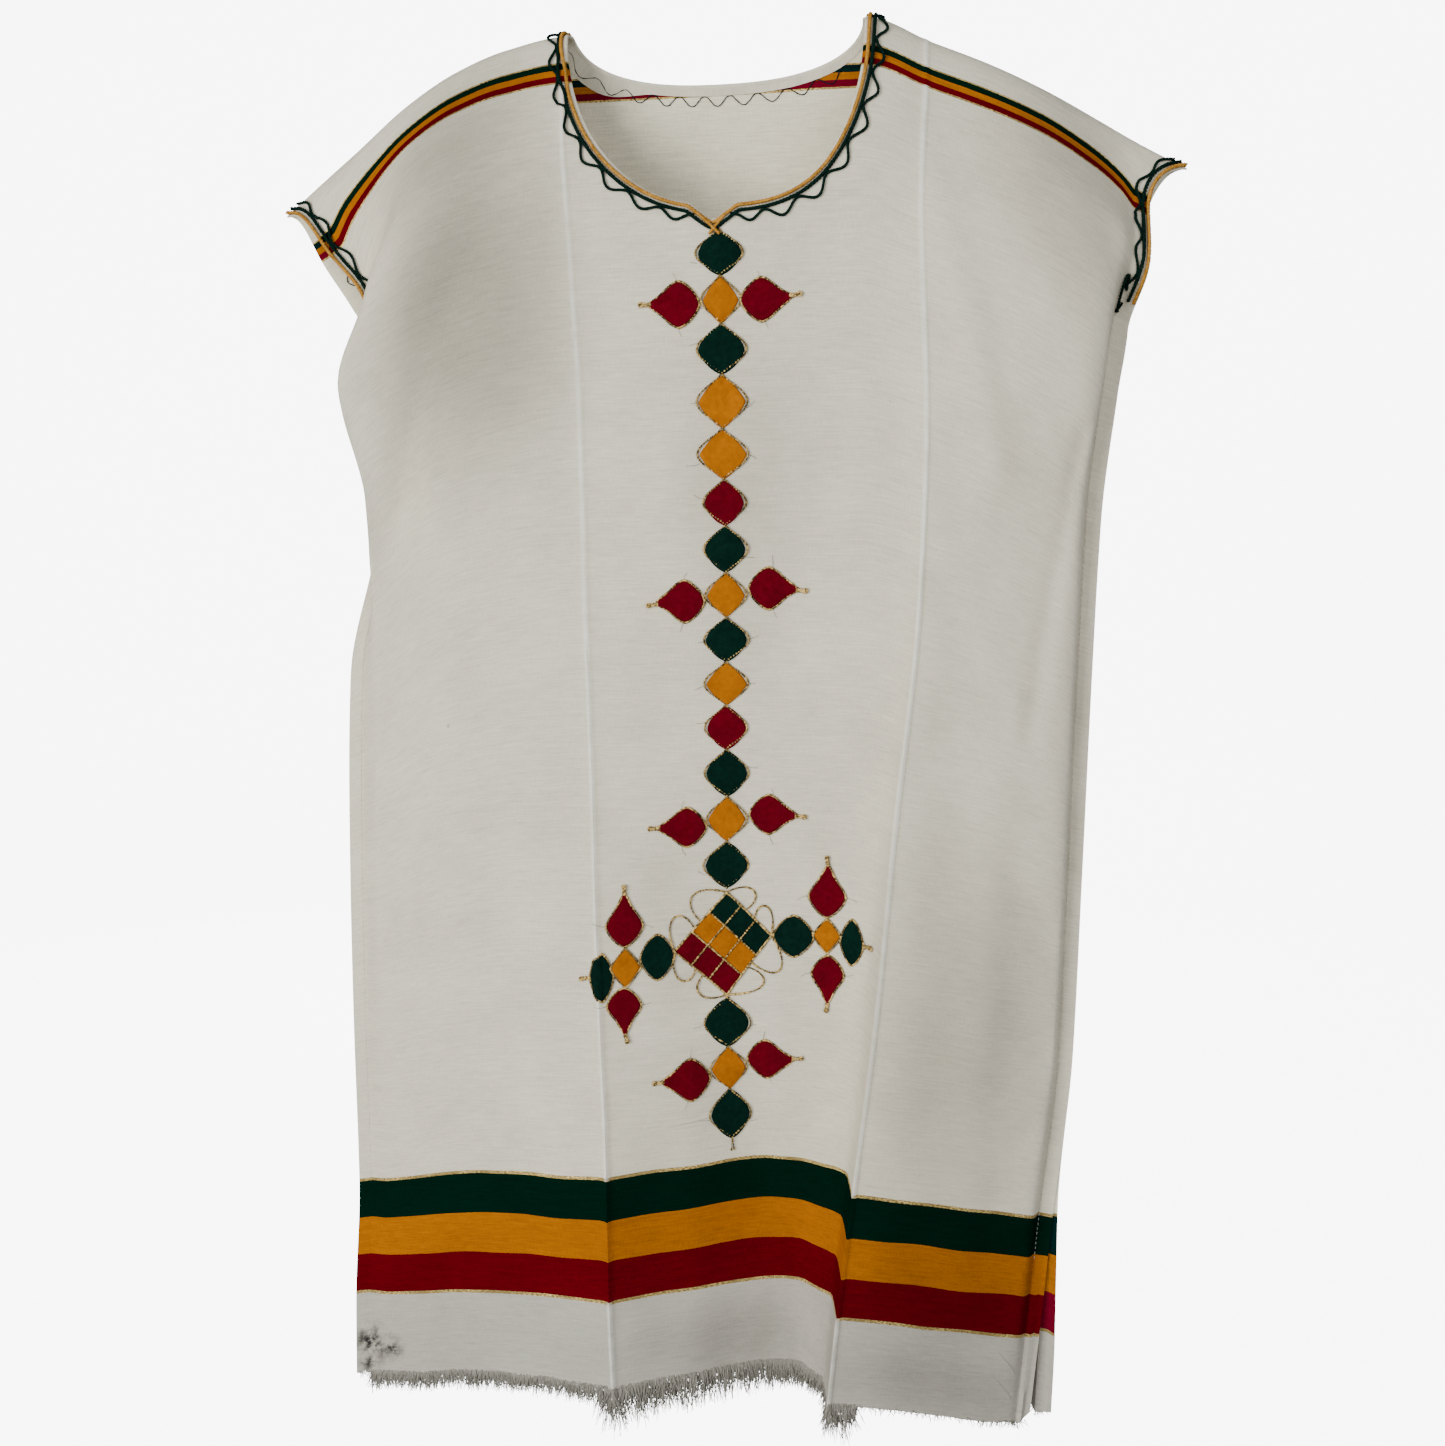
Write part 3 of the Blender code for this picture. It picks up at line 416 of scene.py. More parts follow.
# Weave: thick and thin weft threads across the cloth, finer warp down it
weaveValues = {"slubsAcross": 60.0, "slubsAlong": 820.0, "warpAcross": 1300.0, "warpAlong": 130.0,
               "threadPitch": 0.0009, "streak": (16.0, 300.0), "cloud": (9.0, 12.0)}


def buildWeave():
    tree, given, gone = newGroup("handWeave", "ShaderNodeTree", [("Place", "Vector", None), ("Slub", "Float", 1.0)],
                                 [("Shade", "Float"), ("Height", "Float")])
    at = given.outputs["Place"]
    slub = noise(tree, scaled(tree, at, weaveValues["slubsAcross"], weaveValues["slubsAlong"]), 1.0, 3.0, 0.6)
    streak = noise(tree, scaled(tree, at, *weaveValues["streak"]), 1.0, 4.0, 0.7)
    warp = noise(tree, scaled(tree, at, weaveValues["warpAcross"], weaveValues["warpAlong"]), 1.0, 1.0)
    parts = put(tree, "ShaderNodeSeparateXYZ", {0: at})
    pitch = 6.2832 / weaveValues["threadPitch"]
    across, along = (sums(tree, "SINE", times(tree, parts.outputs[k], pitch)) for k in (0, 1))
    over = times(tree, across, along)
    cloud = noise(tree, scaled(tree, at, *weaveValues["cloud"]), 1.0, 4.0, 0.6)
    shade = plus(tree, swung(tree, slub, 0.55), swung(tree, streak, 0.36), swung(tree, warp, 0.26))
    shade = plus(tree, times(tree, shade, given.outputs["Slub"]), swung(tree, cloud, 0.34))
    height = plus(tree, times(tree, slub, 0.9), times(tree, warp, 0.35), times(tree, over, 0.12),
                  times(tree, streak, 0.8))
    tree.links.new(plus(tree, shade, 1.0), gone.inputs["Shade"])
    tree.links.new(height, gone.inputs["Height"])
    return tree


# A thin fold pressed into the cloth between two places on it
def buildCreaseLine():
    tree, given, gone = newGroup("creaseLine", "ShaderNodeTree",
                                 [("Place", "Vector", None), ("From", "Vector", None), ("To", "Vector", None),
                                  ("Width", "Float", 0.003)], [("Height", "Float")])

    def vectors(operation, a, b):
        node = put(tree, "ShaderNodeVectorMath", operation=operation)
        tree.links.new(a, node.inputs[0])
        tree.links.new(b, node.inputs[1])
        return node

    spot = vectors("SUBTRACT", given.outputs["Place"], given.outputs["From"]).outputs[0]
    run = vectors("SUBTRACT", given.outputs["To"], given.outputs["From"]).outputs[0]
    share = sums(tree, "DIVIDE", vectors("DOT_PRODUCT", spot, run).outputs["Value"],
                 vectors("DOT_PRODUCT", run, run).outputs["Value"], clamp=True)
    scaledRun = put(tree, "ShaderNodeVectorMath", {"Scale": share}, operation="SCALE")
    tree.links.new(run, scaledRun.inputs[0])
    apart = vectors("DISTANCE", spot, scaledRun.outputs[0]).outputs["Value"]
    fall = ramp(tree, sums(tree, "DIVIDE", apart, given.outputs["Width"]), (0.0, 1.0), (1.0, 0.0), "SMOOTHSTEP")
    ends = times(tree, times(tree, share, minus(tree, 1.0, share)), 4.0)
    tree.links.new(times(tree, fall, sums(tree, "POWER", ends, 0.5)), gone.inputs["Height"])
    return tree


weaveGroup = buildWeave()
creaseGroup = buildCreaseLine()

# Colours are linear. Bands: where each starts down the cloth, in metres, and its colour
# The cotton below the last band is painted darker, as painted shade where the thin single layer lets the light through
clothColours = {"cotton": (0.76, 0.71, 0.565), "hem": (0.50, 0.475, 0.405), "green": (0.0003, 0.0125, 0.0066),
        "yellow": (0.385, 0.118, 0.0004), "red": (0.112, 0.0004, 0.0056), "gold": (1.0, 0.74, 0.26),
        "dullGold": (0.27, 0.185, 0.065), "greenReverse": (0.001, 0.016, 0.015),
        "yellowReverse": (0.40, 0.13, 0.004), "redReverse": (0.15, 0.003, 0.015), "cottonReverse": (0.90, 0.85, 0.66)}
bands = ((0.0, "cotton"), (0.0362, "green"), (0.0412, "yellow"), (0.0460, "red"), (0.0508, "cotton"),
         (0.9062, "green"), (0.9420, "yellow"), (0.9778, "red"), (1.0136, "hem"))
goldLines = ((0.0352, 0.0364), (0.0507, 0.0521), (0.9038, 0.9066), (1.0132, 1.0160))
dyedSpans = ((0.0362, 0.0508), (0.9062, 1.0136))
# The ridge colour and strength paint a highlight along the crease ridges; grey is the colour of the painted shade
# patches; dirt colours the real stains
finishes = {"slubShade": 0.9, "bumpDepth": 0.0004, "ridgeShine": (1.0, 0.97, 0.86), "ridgeReach": 0.0026,
            "ridgeHighlightStrength": 1.5, "creaseHeight": 1.7, "dirt": (0.035, 0.035, 0.033), "grey": (0.0, 0.0, 0.0)}
pressed = (    # thin creases on the front: from across and down, to across and down, half width
    ((-0.197, 0.300), (-0.128, 0.290), 0.0022), ((-0.285, 0.462), (-0.190, 0.437), 0.0022),
    ((0.226, 0.462), (0.264, 0.466), 0.0025), ((-0.352, 0.640), (-0.318, 0.636), 0.0022),
    ((0.235, 0.640), (0.268, 0.642), 0.0022), ((-0.062, 0.866), (0.010, 0.860), 0.0020),
    ((0.300, 1.048), (0.335, 1.072), 0.0022), ((0.306, 1.028), (0.338, 1.050), 0.0022),
    ((-0.180, 0.085), (-0.120, 0.082), 0.0030), ((-0.175, 0.110), (-0.130, 0.108), 0.0030))
stains = (     # across, down, radius, strength
    (-0.354, 1.066, 0.028, 1.3), (-0.332, 1.068, 0.018, 1.1), (-0.357, 1.082, 0.018, 1.0),
    (-0.231, 0.515, 0.0022, 0.5), (-0.248, 0.262, 0.0016, 0.35), (0.134, 0.286, 0.0016, 0.4))
paintedShade = (     # painted shade: soft grey patches that darken the cloth where it lies in shade: across, down, reach across, reach down, strength
    (-0.190, 0.200, 0.125, 0.200, 0.48), (-0.215, 0.065, 0.120, 0.065, 0.30), (0.235, 0.770, 0.115, 0.260, 0.34),
    (0.255, 1.010, 0.130, 0.130, 0.28), (0.250, 1.070, 0.150, 0.050, 0.22), (0.000, 1.065, 0.120, 0.055, 0.26),
    (0.020, 0.330, 0.090, 0.160, 0.14), (0.275, 0.090, 0.100, 0.110, 0.30))


def mixed(tree, fac, a, b, blend="MIX"):
    node = put(tree, "ShaderNodeMix", data_type="RGBA", blend_type=blend)
    for index, value in ((0, fac), (6, a), (7, b)):    # the sockets of a colour mix
        feed(tree, node.inputs[index], (*value, 1.0) if isinstance(value, tuple) else value)
    return node.outputs[2]


def shaded(tree, colour, level):    # lighter or darker all over
    grey = put(tree, "ShaderNodeCombineColor", {0: level, 1: level, 2: level}).outputs[0]
    return mixed(tree, 1.0, colour, grey, "MULTIPLY")


def raised(tree, shader, height, depth, strength):
    bump = put(tree, "ShaderNodeBump", {"Height": height, "Distance": depth, "Strength": strength})
    link(tree, bump.outputs[0], shader, "Normal")


# Colours that change at exact places down the cloth
def stepped(tree, level, stops):
    colour = stops[0][1]
    for start, value in stops[1:]:
        colour = mixed(tree, sums(tree, "GREATER_THAN", level, start), colour, value)
    return colour


# A mask that is 1 inside any of the spans
def between(tree, level, spans):
    mask = 0.0
    for low, high in spans:
        inside = times(tree, sums(tree, "GREATER_THAN", level, low), sums(tree, "LESS_THAN", level, high))
        mask = plus(tree, mask, inside)
    return mask


# Woven cotton with its dyed bands and gold lines, read from the cloth's own UV map
def clothMaterial(name, reverse, marked):
    material, tree, shader = newMaterial(name)
    at = put(tree, "ShaderNodeUVMap", uv_map="clothPlace").outputs[0]
    parts = put(tree, "ShaderNodeSeparateXYZ", {0: at})
    down = sums(tree, "ABSOLUTE", parts.outputs[1])
    wobble = noise(tree, scaled(tree, at, 22.0, 4.0), 1.0, 3.0)
    thready = noise(tree, scaled(tree, at, 900.0, 60.0), 1.0, 1.0)
    level = plus(tree, down, plus(tree, swung(tree, wobble, 0.0012), swung(tree, thready, 0.0004)))
    ending = "Reverse" if reverse else ""
    bandColour = stepped(tree, level, [(start, clothColours.get(colour + ending, clothColours[colour])) for start, colour in bands])
    isDyed = between(tree, level, dyedSpans)
    goldMask = between(tree, level, goldLines)
    dashes = noise(tree, scaled(tree, at, 420.0, 900.0), 1.0, 2.0)
    glints = noise(tree, scaled(tree, at, 26.0, 1.0), 1.0, 2.0)
    weave = place(weaveGroup, tree, {"Place": at, "Slub": finishes["slubShade"]})
    stronger = plus(tree, 1.0, times(tree, isDyed, 0.6))    # the weave shows more in the dyed bands
    shade = plus(tree, times(tree, minus(tree, weave.outputs["Shade"], 1.0), stronger), 1.0)
    colour = shaded(tree, bandColour, shade)
    # The gold lines mix dull gold with dashes of bright gold: partly the thread's own dashes, partly painted glints on
    # top of the metallic finish
    bright, often = ramp(tree, dashes, (0.44, 0.58)), ramp(tree, glints, (0.42, 0.62), (0.25, 1.0))
    gilt = mixed(tree, times(tree, bright, often), clothColours["dullGold"], clothColours["gold"])
    colour = mixed(tree, goldMask, colour, gilt)
    height = weave.outputs["Height"]
    if marked:
        across = parts.outputs[0]
        # Painted highlight: a light line along each pressed crease ridge, broken up by noise and kept out of the dyed
        # bands
        broken = noise(tree, scaled(tree, at, 30.0, 60.0), 1.0, 3.0)
        for crease in creases["front"]:
            off = sums(tree, "ABSOLUTE", minus(tree, across, crease * cloth["halfWidth"]))
            paintedRidgeHighlight = ramp(tree, off, (0.0, finishes["ridgeReach"]), (finishes["ridgeHighlightStrength"], 0.0))
            paintedRidgeHighlight = times(tree, times(tree, paintedRidgeHighlight, broken), minus(tree, 1.0, isDyed))
            colour = mixed(tree, paintedRidgeHighlight, colour, finishes["ridgeShine"])
        for start, end, width in pressed:
            line = place(creaseGroup, tree, {"Place": at, "From": (*start, 0), "To": (*end, 0), "Width": width})
            height = plus(tree, height, times(tree, line.outputs[0], finishes["creaseHeight"]))
        # Painted shade: the cloth is darkened towards grey in soft patches
        for across, low, reachAcross, reachDown, strength in paintedShade:
            off = put(tree, "ShaderNodeVectorMath", {0: at, 1: (across, low, 0)}, operation="SUBTRACT")
            oval = scaled(tree, off.outputs[0], 1 / reachAcross, 1 / reachDown)
            size = put(tree, "ShaderNodeVectorMath", {0: oval}, operation="LENGTH")
            fall = ramp(tree, size.outputs["Value"], (0.15, 1.0), (strength, 0.0), "SMOOTHSTEP")
            colour = mixed(tree, fall, colour, finishes["grey"])
        blotch = noise(tree, scaled(tree, at, 75.0, 75.0), 1.0, 5.0, 0.7)
        dirt = None
        for across, low, radius, strength in stains:
            apart = put(tree, "ShaderNodeVectorMath", {0: at, 1: (across, low, 0)}, operation="DISTANCE")
            near = ramp(tree, apart.outputs["Value"], (radius, 0.0), (0.0, strength))
            dirt = near if dirt is None else sums(tree, "MAXIMUM", dirt, near)
        rough = ramp(tree, blotch, (0.40, 0.62), (0.10, 1.25))
        colour = mixed(tree, times(tree, dirt, rough, clamp=True), colour, finishes["dirt"])
    link(tree, colour, shader, "Base Color")
    link(tree, times(tree, goldMask, 0.35), shader, "Metallic")
    link(tree, minus(tree, 0.92, times(tree, goldMask, 0.55)), shader, "Roughness")
    shader.inputs["Specular IOR Level"].default_value = 0.0
    raised(tree, shader, height, finishes["bumpDepth"], 0.9)
    return material


outsideCloth = clothMaterial("cottonOutside", False, True)
plainCloth = clothMaterial("cottonPlain", False, False)
# The inside faces take the reverse colours; the reverse cotton is painted lighter than the outside cotton, as painted
# light standing in for light coming through the thin cloth
insideCloth = clothMaterial("cottonInside", True, False)


def meshObject(name, points, faces, materials, smooth=True):
    mesh = bpy.data.meshes.new(name)
    mesh.from_pydata(np.asarray(points).tolist(), [], [list(map(int, face)) for face in faces])
    for material in materials:
        mesh.materials.append(material)
    if smooth:
        mesh.shade_smooth()
    made = bpy.data.objects.new(name, mesh)
    scene.collection.objects.link(made)
    return made


# Cloth walls
wallGrid = {
    "front": {"left": 56, "neck": 74, "right": 52, "rows": 220},
    "back": {"left": 40, "neck": 70, "right": 40, "rows": 190}}
finerBeside = (-0.0135, -0.008, -0.004, 0.0, 0.004, 0.008, 0.0135)    # extra columns beside a crease, as shares
finerRows = (0, 1.5, 3, 5, 7.5, 10.5, 14, 18, 22.5, 27)               # rows below the fold and the neck, in mm
frayWaves = ((0.0011, 371.0, 0.0), (0.0009, 947.0, 1.3), (0.0008, 211.0, 0.4))    # height, waves, start
hemCorner = {"from": 0.968, "radius": 0.010, "above": 1.06}


# Even shares, with a few more close to each crease and to the side stitching
def easedShares(low, high, count, sharpAt):
    shares = set(np.round(np.linspace(low, high, count), 5))
    for crease in sharpAt:
        if low - 1e-6 <= crease <= high + 1e-6:
            for off in finerBeside:
                if low <= crease + off <= high:
                    shares.add(round(crease + off, 5))
    return sorted(shares)


# How far the rounded lower right corner turns up
def cornerLift(share, down):
    start, size = hemCorner["from"], hemCorner["radius"]
    t = np.clip((share - start) / (1 - start), 0, 1)
    return size * (1 - np.sqrt(1 - 0.98 * t**2)) * smoothStep(hemCorner["above"], cloth["length"], down)


# Share and distance down for each column and row of a wall
def wallPlaces(side):
    size = wallGrid[side]
    sharp = (*creases[side], -cloth["seamAt"], cloth["seamAt"])
    rows = np.concatenate([np.array(finerRows) * mm, np.linspace(0.0315, cloth["length"], size["rows"])])
    turn = np.linspace(-1, 1, size["neck"])
    crowded = np.sin(turn * math.pi / 2)
    columns = []
    for outer in easedShares(-1.0, neck["left"] - 0.006, size["left"], sharp):
        columns.append((np.full(len(rows), outer), rows))
    for across, settled in zip(crowded, turn):
        top = neckEdge(side, across)
        down = top + rows * (1 - top / cloth["length"])
        evened = smoothStep(top, neck["settles"], down)
        start = neckShare(across)
        columns.append((start + (neckShare(settled) - start) * evened, down))
    for outer in easedShares(neck["right"] + 0.006, 1.0, size["right"], sharp):
        columns.append((np.full(len(rows), outer), rows))
    return np.array([c[0] for c in columns]), np.array([c[1] for c in columns])


wallEdges = {    # where a wall is kept to its own side of the other one, as distances down or shares across
    "fold": 0.0012, "seam": 0.985, "sewn": 0.96, "nearFold": 0.040, "nearSeam": 0.9, "hemRow": 0.0005,
    "calmFrom": 0.38, "calmTo": 0.46, "calm": 0.85}


def buildWall(side):
    share, down = wallPlaces(side)
    columns, rows = share.shape
    away = -1 if side == "front" else 1
    s, d = share.ravel(), down.ravel()
    frayed = d > cloth["length"] - wallEdges["hemRow"]
    d = d - cornerLift(s, d)
    middle, normal = openCloth(s, -away * d)
    meetsFold = d < wallEdges["fold"]
    meetsSeam = (abs(s) > wallEdges["seam"]) & (d > cloth["underarm"] - mm)
    normal[meetsFold, 1] = 0
    normal[meetsSeam] = (0, away, 0)
    normal /= np.linalg.norm(normal, axis=1)[:, None]
    outer = middle + normal * cloth["wall"] / 2
    inner = middle - normal * cloth["wall"] / 2
    near = (abs(s) > wallEdges["nearSeam"]) | (d < wallEdges["nearFold"])
    for skin in (outer, inner):
        skin[near, 1] = away * np.maximum(away * skin[near, 1], cloth["seamGap"] / 2)
    held = (abs(s) > wallEdges["sewn"]) & meetsSeam
    inner[held, 1] = away * cloth["seamGap"] / 2
    outer[held, 1] = away * (cloth["seamGap"] / 2 + cloth["wall"])
    fray = sum(size * np.sin(s * waves + start) for size, waves, start in frayWaves)
    fray = fray * (1 - wallEdges["calm"] * smoothStep(wallEdges["calmFrom"], wallEdges["calmTo"], s))
    for skin in (outer, inner):
        skin[frayed, 2] += fray[frayed]
    index = np.arange(columns * rows).reshape(columns, rows)
    a, b, c, e = index[:-1, :-1].ravel(), index[1:, :-1].ravel(), index[1:, 1:].ravel(), index[:-1, 1:].ravel()
    outerFaces = np.column_stack([a, b, c, e]) if side == "back" else np.column_stack([a, e, c, b])
    innerFaces = outerFaces[:, ::-1] + columns * rows
    rim = [(i, 0) for i in range(columns)] + [(columns - 1, j) for j in range(1, rows)]
    rim += [(i, rows - 1) for i in range(columns - 2, -1, -1)] + [(0, j) for j in range(rows - 2, 0, -1)]
    ring = [index[i, j] for i, j in rim]
    rimFaces = []
    for p, q in zip(ring, ring[1:] + ring[:1]):
        face = (p, q, q + columns * rows, p + columns * rows)
        rimFaces.append(face if side == "back" else face[::-1])
    faces = np.vstack([outerFaces, innerFaces, np.array(rimFaces)])
    outside = outsideCloth if side == "front" else plainCloth
    wall = meshObject(side + "Cloth", np.vstack([outer, inner]), faces, [outside, insideCloth])
    marks = np.zeros(len(faces), int)
    marks[len(outerFaces):len(outerFaces) + len(innerFaces)] = 1
    wall.data.polygons.foreach_set("material_index", marks)
    places = np.column_stack([s * cloth["halfWidth"], -away * d])
    addPlaces(wall, np.vstack([places, places]))
    facingOut(wall)
    wall.data.set_sharp_from_angle(angle=math.radians(58))
    return wall


# Turns every face of a closed piece outwards
def facingOut(piece):
    shape = bmesh.new()
    shape.from_mesh(piece.data)
    bmesh.ops.recalc_face_normals(shape, faces=shape.faces)
    shape.to_mesh(piece.data)
    shape.free()


# The UV map that woven patterns are read from, one place for each vertex
def addPlaces(piece, places):
    layer = piece.data.uv_layers.new(name="clothPlace")
    corners = np.zeros(len(piece.data.loops), int)
    piece.data.loops.foreach_get("vertex_index", corners)
    layer.data.foreach_set("uv", np.asarray(places, float)[corners].ravel())


frontCloth = buildWall("front")
backCloth = buildWall("back")
print("cloth made:", len(frontCloth.data.polygons), len(backCloth.data.polygons), "faces")


# Cord, thread and gold finishes
# Plied yarn: shade turns with the ply, and fine fibres stand off it
def cordMaterial(name, colour, second, roughness, glint, grain=900.0):
    material, tree, shader = newMaterial(name)
    at = put(tree, "ShaderNodeTexCoord").outputs["Object"]
    ply = noise(tree, at, grain, 2.0)
    patchy = noise(tree, at, 60.0, 2.0)
    fac = ramp(tree, ply, (0.40, 0.60))
    dull = ramp(tree, patchy, (0.3, 0.7), (0.78, 1.15))
    link(tree, shaded(tree, mixed(tree, fac, colour, second), dull), shader, "Base Color")
    if glint:
        link(tree, times(tree, fac, glint), shader, "Metallic")
    link(tree, ramp(tree, ply, (0.0, 1.0), (roughness - 0.1, roughness + 0.1)), shader, "Roughness")
    raised(tree, shader, noise(tree, at, 1600.0, 2.0), 0.0004, 0.7)
    shader.inputs["Specular IOR Level"].default_value = 0.08
    return material


cordFinishes = {
    "green": cordMaterial("greenCord", (0.0004, 0.0065, 0.0042), (0.0015, 0.018, 0.012), 0.85, 0.0),
    "yellow": cordMaterial("yellowCord", (0.36, 0.15, 0.012), (0.60, 0.31, 0.06), 0.85, 0.0),
    "gold": cordMaterial("goldCord", (0.10, 0.070, 0.026), (0.86, 0.60, 0.22), 0.5, 0.35, 520.0),
    "white": cordMaterial("whiteThread", (0.58, 0.56, 0.52), (0.72, 0.70, 0.65), 0.9, 0.0),
    "dark": cordMaterial("darkThread", (0.004, 0.008, 0.018), (0.012, 0.022, 0.035), 0.8, 0.0)}


# Twisted cord along a curve
def buildTwistedCord():
    tree, given, gone = newMaker("twistedCord", ("Radius", "Float", 0.0014), ("Turns per metre", "Float", 120.0),
                                 ("Plies", "Int", 3))
    length = tree.nodes.new("GeometryNodeSplineParameter").outputs["Length"]
    turn = times(tree, times(tree, length, given.outputs["Turns per metre"]), 6.2832)
    tilted = put(tree, "GeometryNodeSetCurveTilt", {"Curve": given.outputs["Geometry"], "Tilt": turn})
    sides = times(tree, given.outputs["Plies"], 3.0)
    circle = put(tree, "GeometryNodeCurvePrimitiveCircle", {"Resolution": sides, "Radius": given.outputs["Radius"]})
    number = tree.nodes.new("GeometryNodeInputIndex").outputs[0]
    dip = sums(tree, "COMPARE", sums(tree, "MODULO", number, 3.0), 0.0, 0.1)    # every third point lies between plies
    size = minus(tree, 1.0, times(tree, dip, 0.30))
    spot = tree.nodes.new("GeometryNodeInputPosition").outputs[0]
    lobed = put(tree, "ShaderNodeVectorMath", {"Scale": size}, operation="SCALE")
    tree.links.new(spot, lobed.inputs[0])
    profile = put(tree, "GeometryNodeSetPosition", {"Geometry": circle.outputs[0], "Position": lobed.outputs[0]})
    tube = put(tree, "GeometryNodeCurveToMesh", {"Curve": tilted.outputs[0], "Profile Curve": profile.outputs[0],
                                                 "Fill Caps": True})
    return handOver(tree, given, gone, tube.outputs[0])


twistedCord = buildTwistedCord()


def polyCurve(name, paths, closed):
    curve = bpy.data.curves.new(name, "CURVE")
    curve.dimensions = "3D"
    for path in paths:
        spline = curve.splines.new("POLY")
        spline.points.add(len(path) - 1)
        for point, spot in zip(spline.points, path):
            point.co = (*spot, 1.0)
        spline.use_cyclic_u = closed
    made = bpy.data.objects.new(name, curve)
    scene.collection.objects.link(made)
    return made


# The plain mesh that a modifier gives, in place of its source
def asMesh(source, name):
    bpy.context.view_layer.update()
    shown = source.evaluated_get(bpy.context.evaluated_depsgraph_get())
    mesh = bpy.data.meshes.new_from_object(shown)
    mesh.name = name
    mesh.shade_smooth()
    bpy.data.objects.remove(source, do_unlink=True)
    made = bpy.data.objects.new(name, mesh)
    scene.collection.objects.link(made)
    return made


def worked(source, name, tree, values):    # what a geometry tree makes of a shape
    modifier = source.modifiers.new(tree.name, "NODES")
    modifier.node_group = tree
    setInputs(modifier, values)
    return asMesh(source, name)


def laidCord(name, paths, closed, radius, turns, plies, finish):
    source = polyCurve(name + "Path", paths, closed)
    values = {"Radius": radius, "Turns per metre": turns, "Plies": plies, "Finish": finish}
    return worked(source, name, twistedCord, values)


trim = {"cordRadius": 0.0015, "waveRadius": 0.0012, "edgeInset": 0.0020, "greenInset": 0.0058, "waveNear": 0.0078,
        "waveFar": 0.0150, "neckPeriod": 0.025, "sleevePeriod": 0.027, "sleeveScale": 0.34, "lie": 0.0006,
        "turns": 130.0, "notchClear": 0.013, "calmEnds": 0.020,
        "sleeveEnds": {"left": (0.100, 0.122), "right": (0.118, 0.122)}, "waveShort": 0.006,
        "rides": 0.0024, "swap": {"yellow": 0.0032, "green": -0.0034}, "behind": (0.012, 0.034), "sleeveNear": 0.0074,
        "sleeveFar": 0.0122, "loopTurn": (-2.6, 2.9), "loopAlong": 0.012, "loopInset": 0.0150, "loopAcross": 0.0062}


def sewn(piece, *nodes, slot):
    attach(piece, "root")
    if nodes:
        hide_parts(*nodes)
    return piece


# Scallops that differ a little from one to the next
def waveInset(at, period, chance):
    phases = 2 * math.pi * at / period
    number = np.floor(at / period).astype(int)
    sizes = np.array([chance.uniform(0.78, 1.12) for _ in range(int(number.max()) + 2)])
    size = sizes[number] + (sizes[number + 1] - sizes[number]) * (at / period - number)
    return trim["waveNear"] + (trim["waveFar"] - trim["waveNear"]) * size * (0.5 - 0.5 * np.cos(phases))


def buildNeckTrim():
    made = []
    for name, node, inset, colour in (("neckEdgeCord", "neck_edge_cord", trim["edgeInset"], "yellow"),
                                      ("neckGreenCord", "neck_green_cord", trim["greenInset"], "green")):
        edge, _ = spaced(neckLoop(True), 240, True)
        swapped = smoothStep(*trim["behind"], -edge[:, 1]) * trim["swap"][colour]
        path, _ = spaced(pushedOut(edge, inset + swapped, True), 520, True)
        behind = smoothStep(*trim["behind"], -path[:, 1])
        rides = trim["rides"] * behind * (colour == "green")
        points = lifted(path, trim["cordRadius"] + trim["lie"] + rides)
        cord = laidCord(name, [points], True, trim["cordRadius"], trim["turns"], 3, cordFinishes[colour])
        made.append(sewn(cord, node, slot=colour))
    loop, _ = spaced(neckLoop(False), 1800, True)
    kept = (abs(loop[:, 0] - neckShare(0) * cloth["halfWidth"]) > trim["notchClear"]) | (loop[:, 1] < 0)
    loop = np.roll(loop, -int(np.argmax(kept)), axis=0)[:int(kept.sum())]
    path, at = spaced(loop, 620, False)
    periods = round(at[-1] / trim["neckPeriod"])
    inset = waveInset(at, at[-1] / periods * 1.00001, random.Random(5))
    calm = smoothStep(0.0, trim["calmEnds"], np.minimum(at, at[-1] - at))
    path = pushedOut(path, trim["waveNear"] + (inset - trim["waveNear"]) * (0.25 + 0.75 * calm), False)
    points = lifted(path, trim["waveRadius"] + trim["lie"])
    wave = laidCord("neckWaveCord", [points], False, trim["waveRadius"], 160.0, 3, cordFinishes["green"])
    made.append(sewn(wave, "neck_wave_cord", slot="green"))
    return made


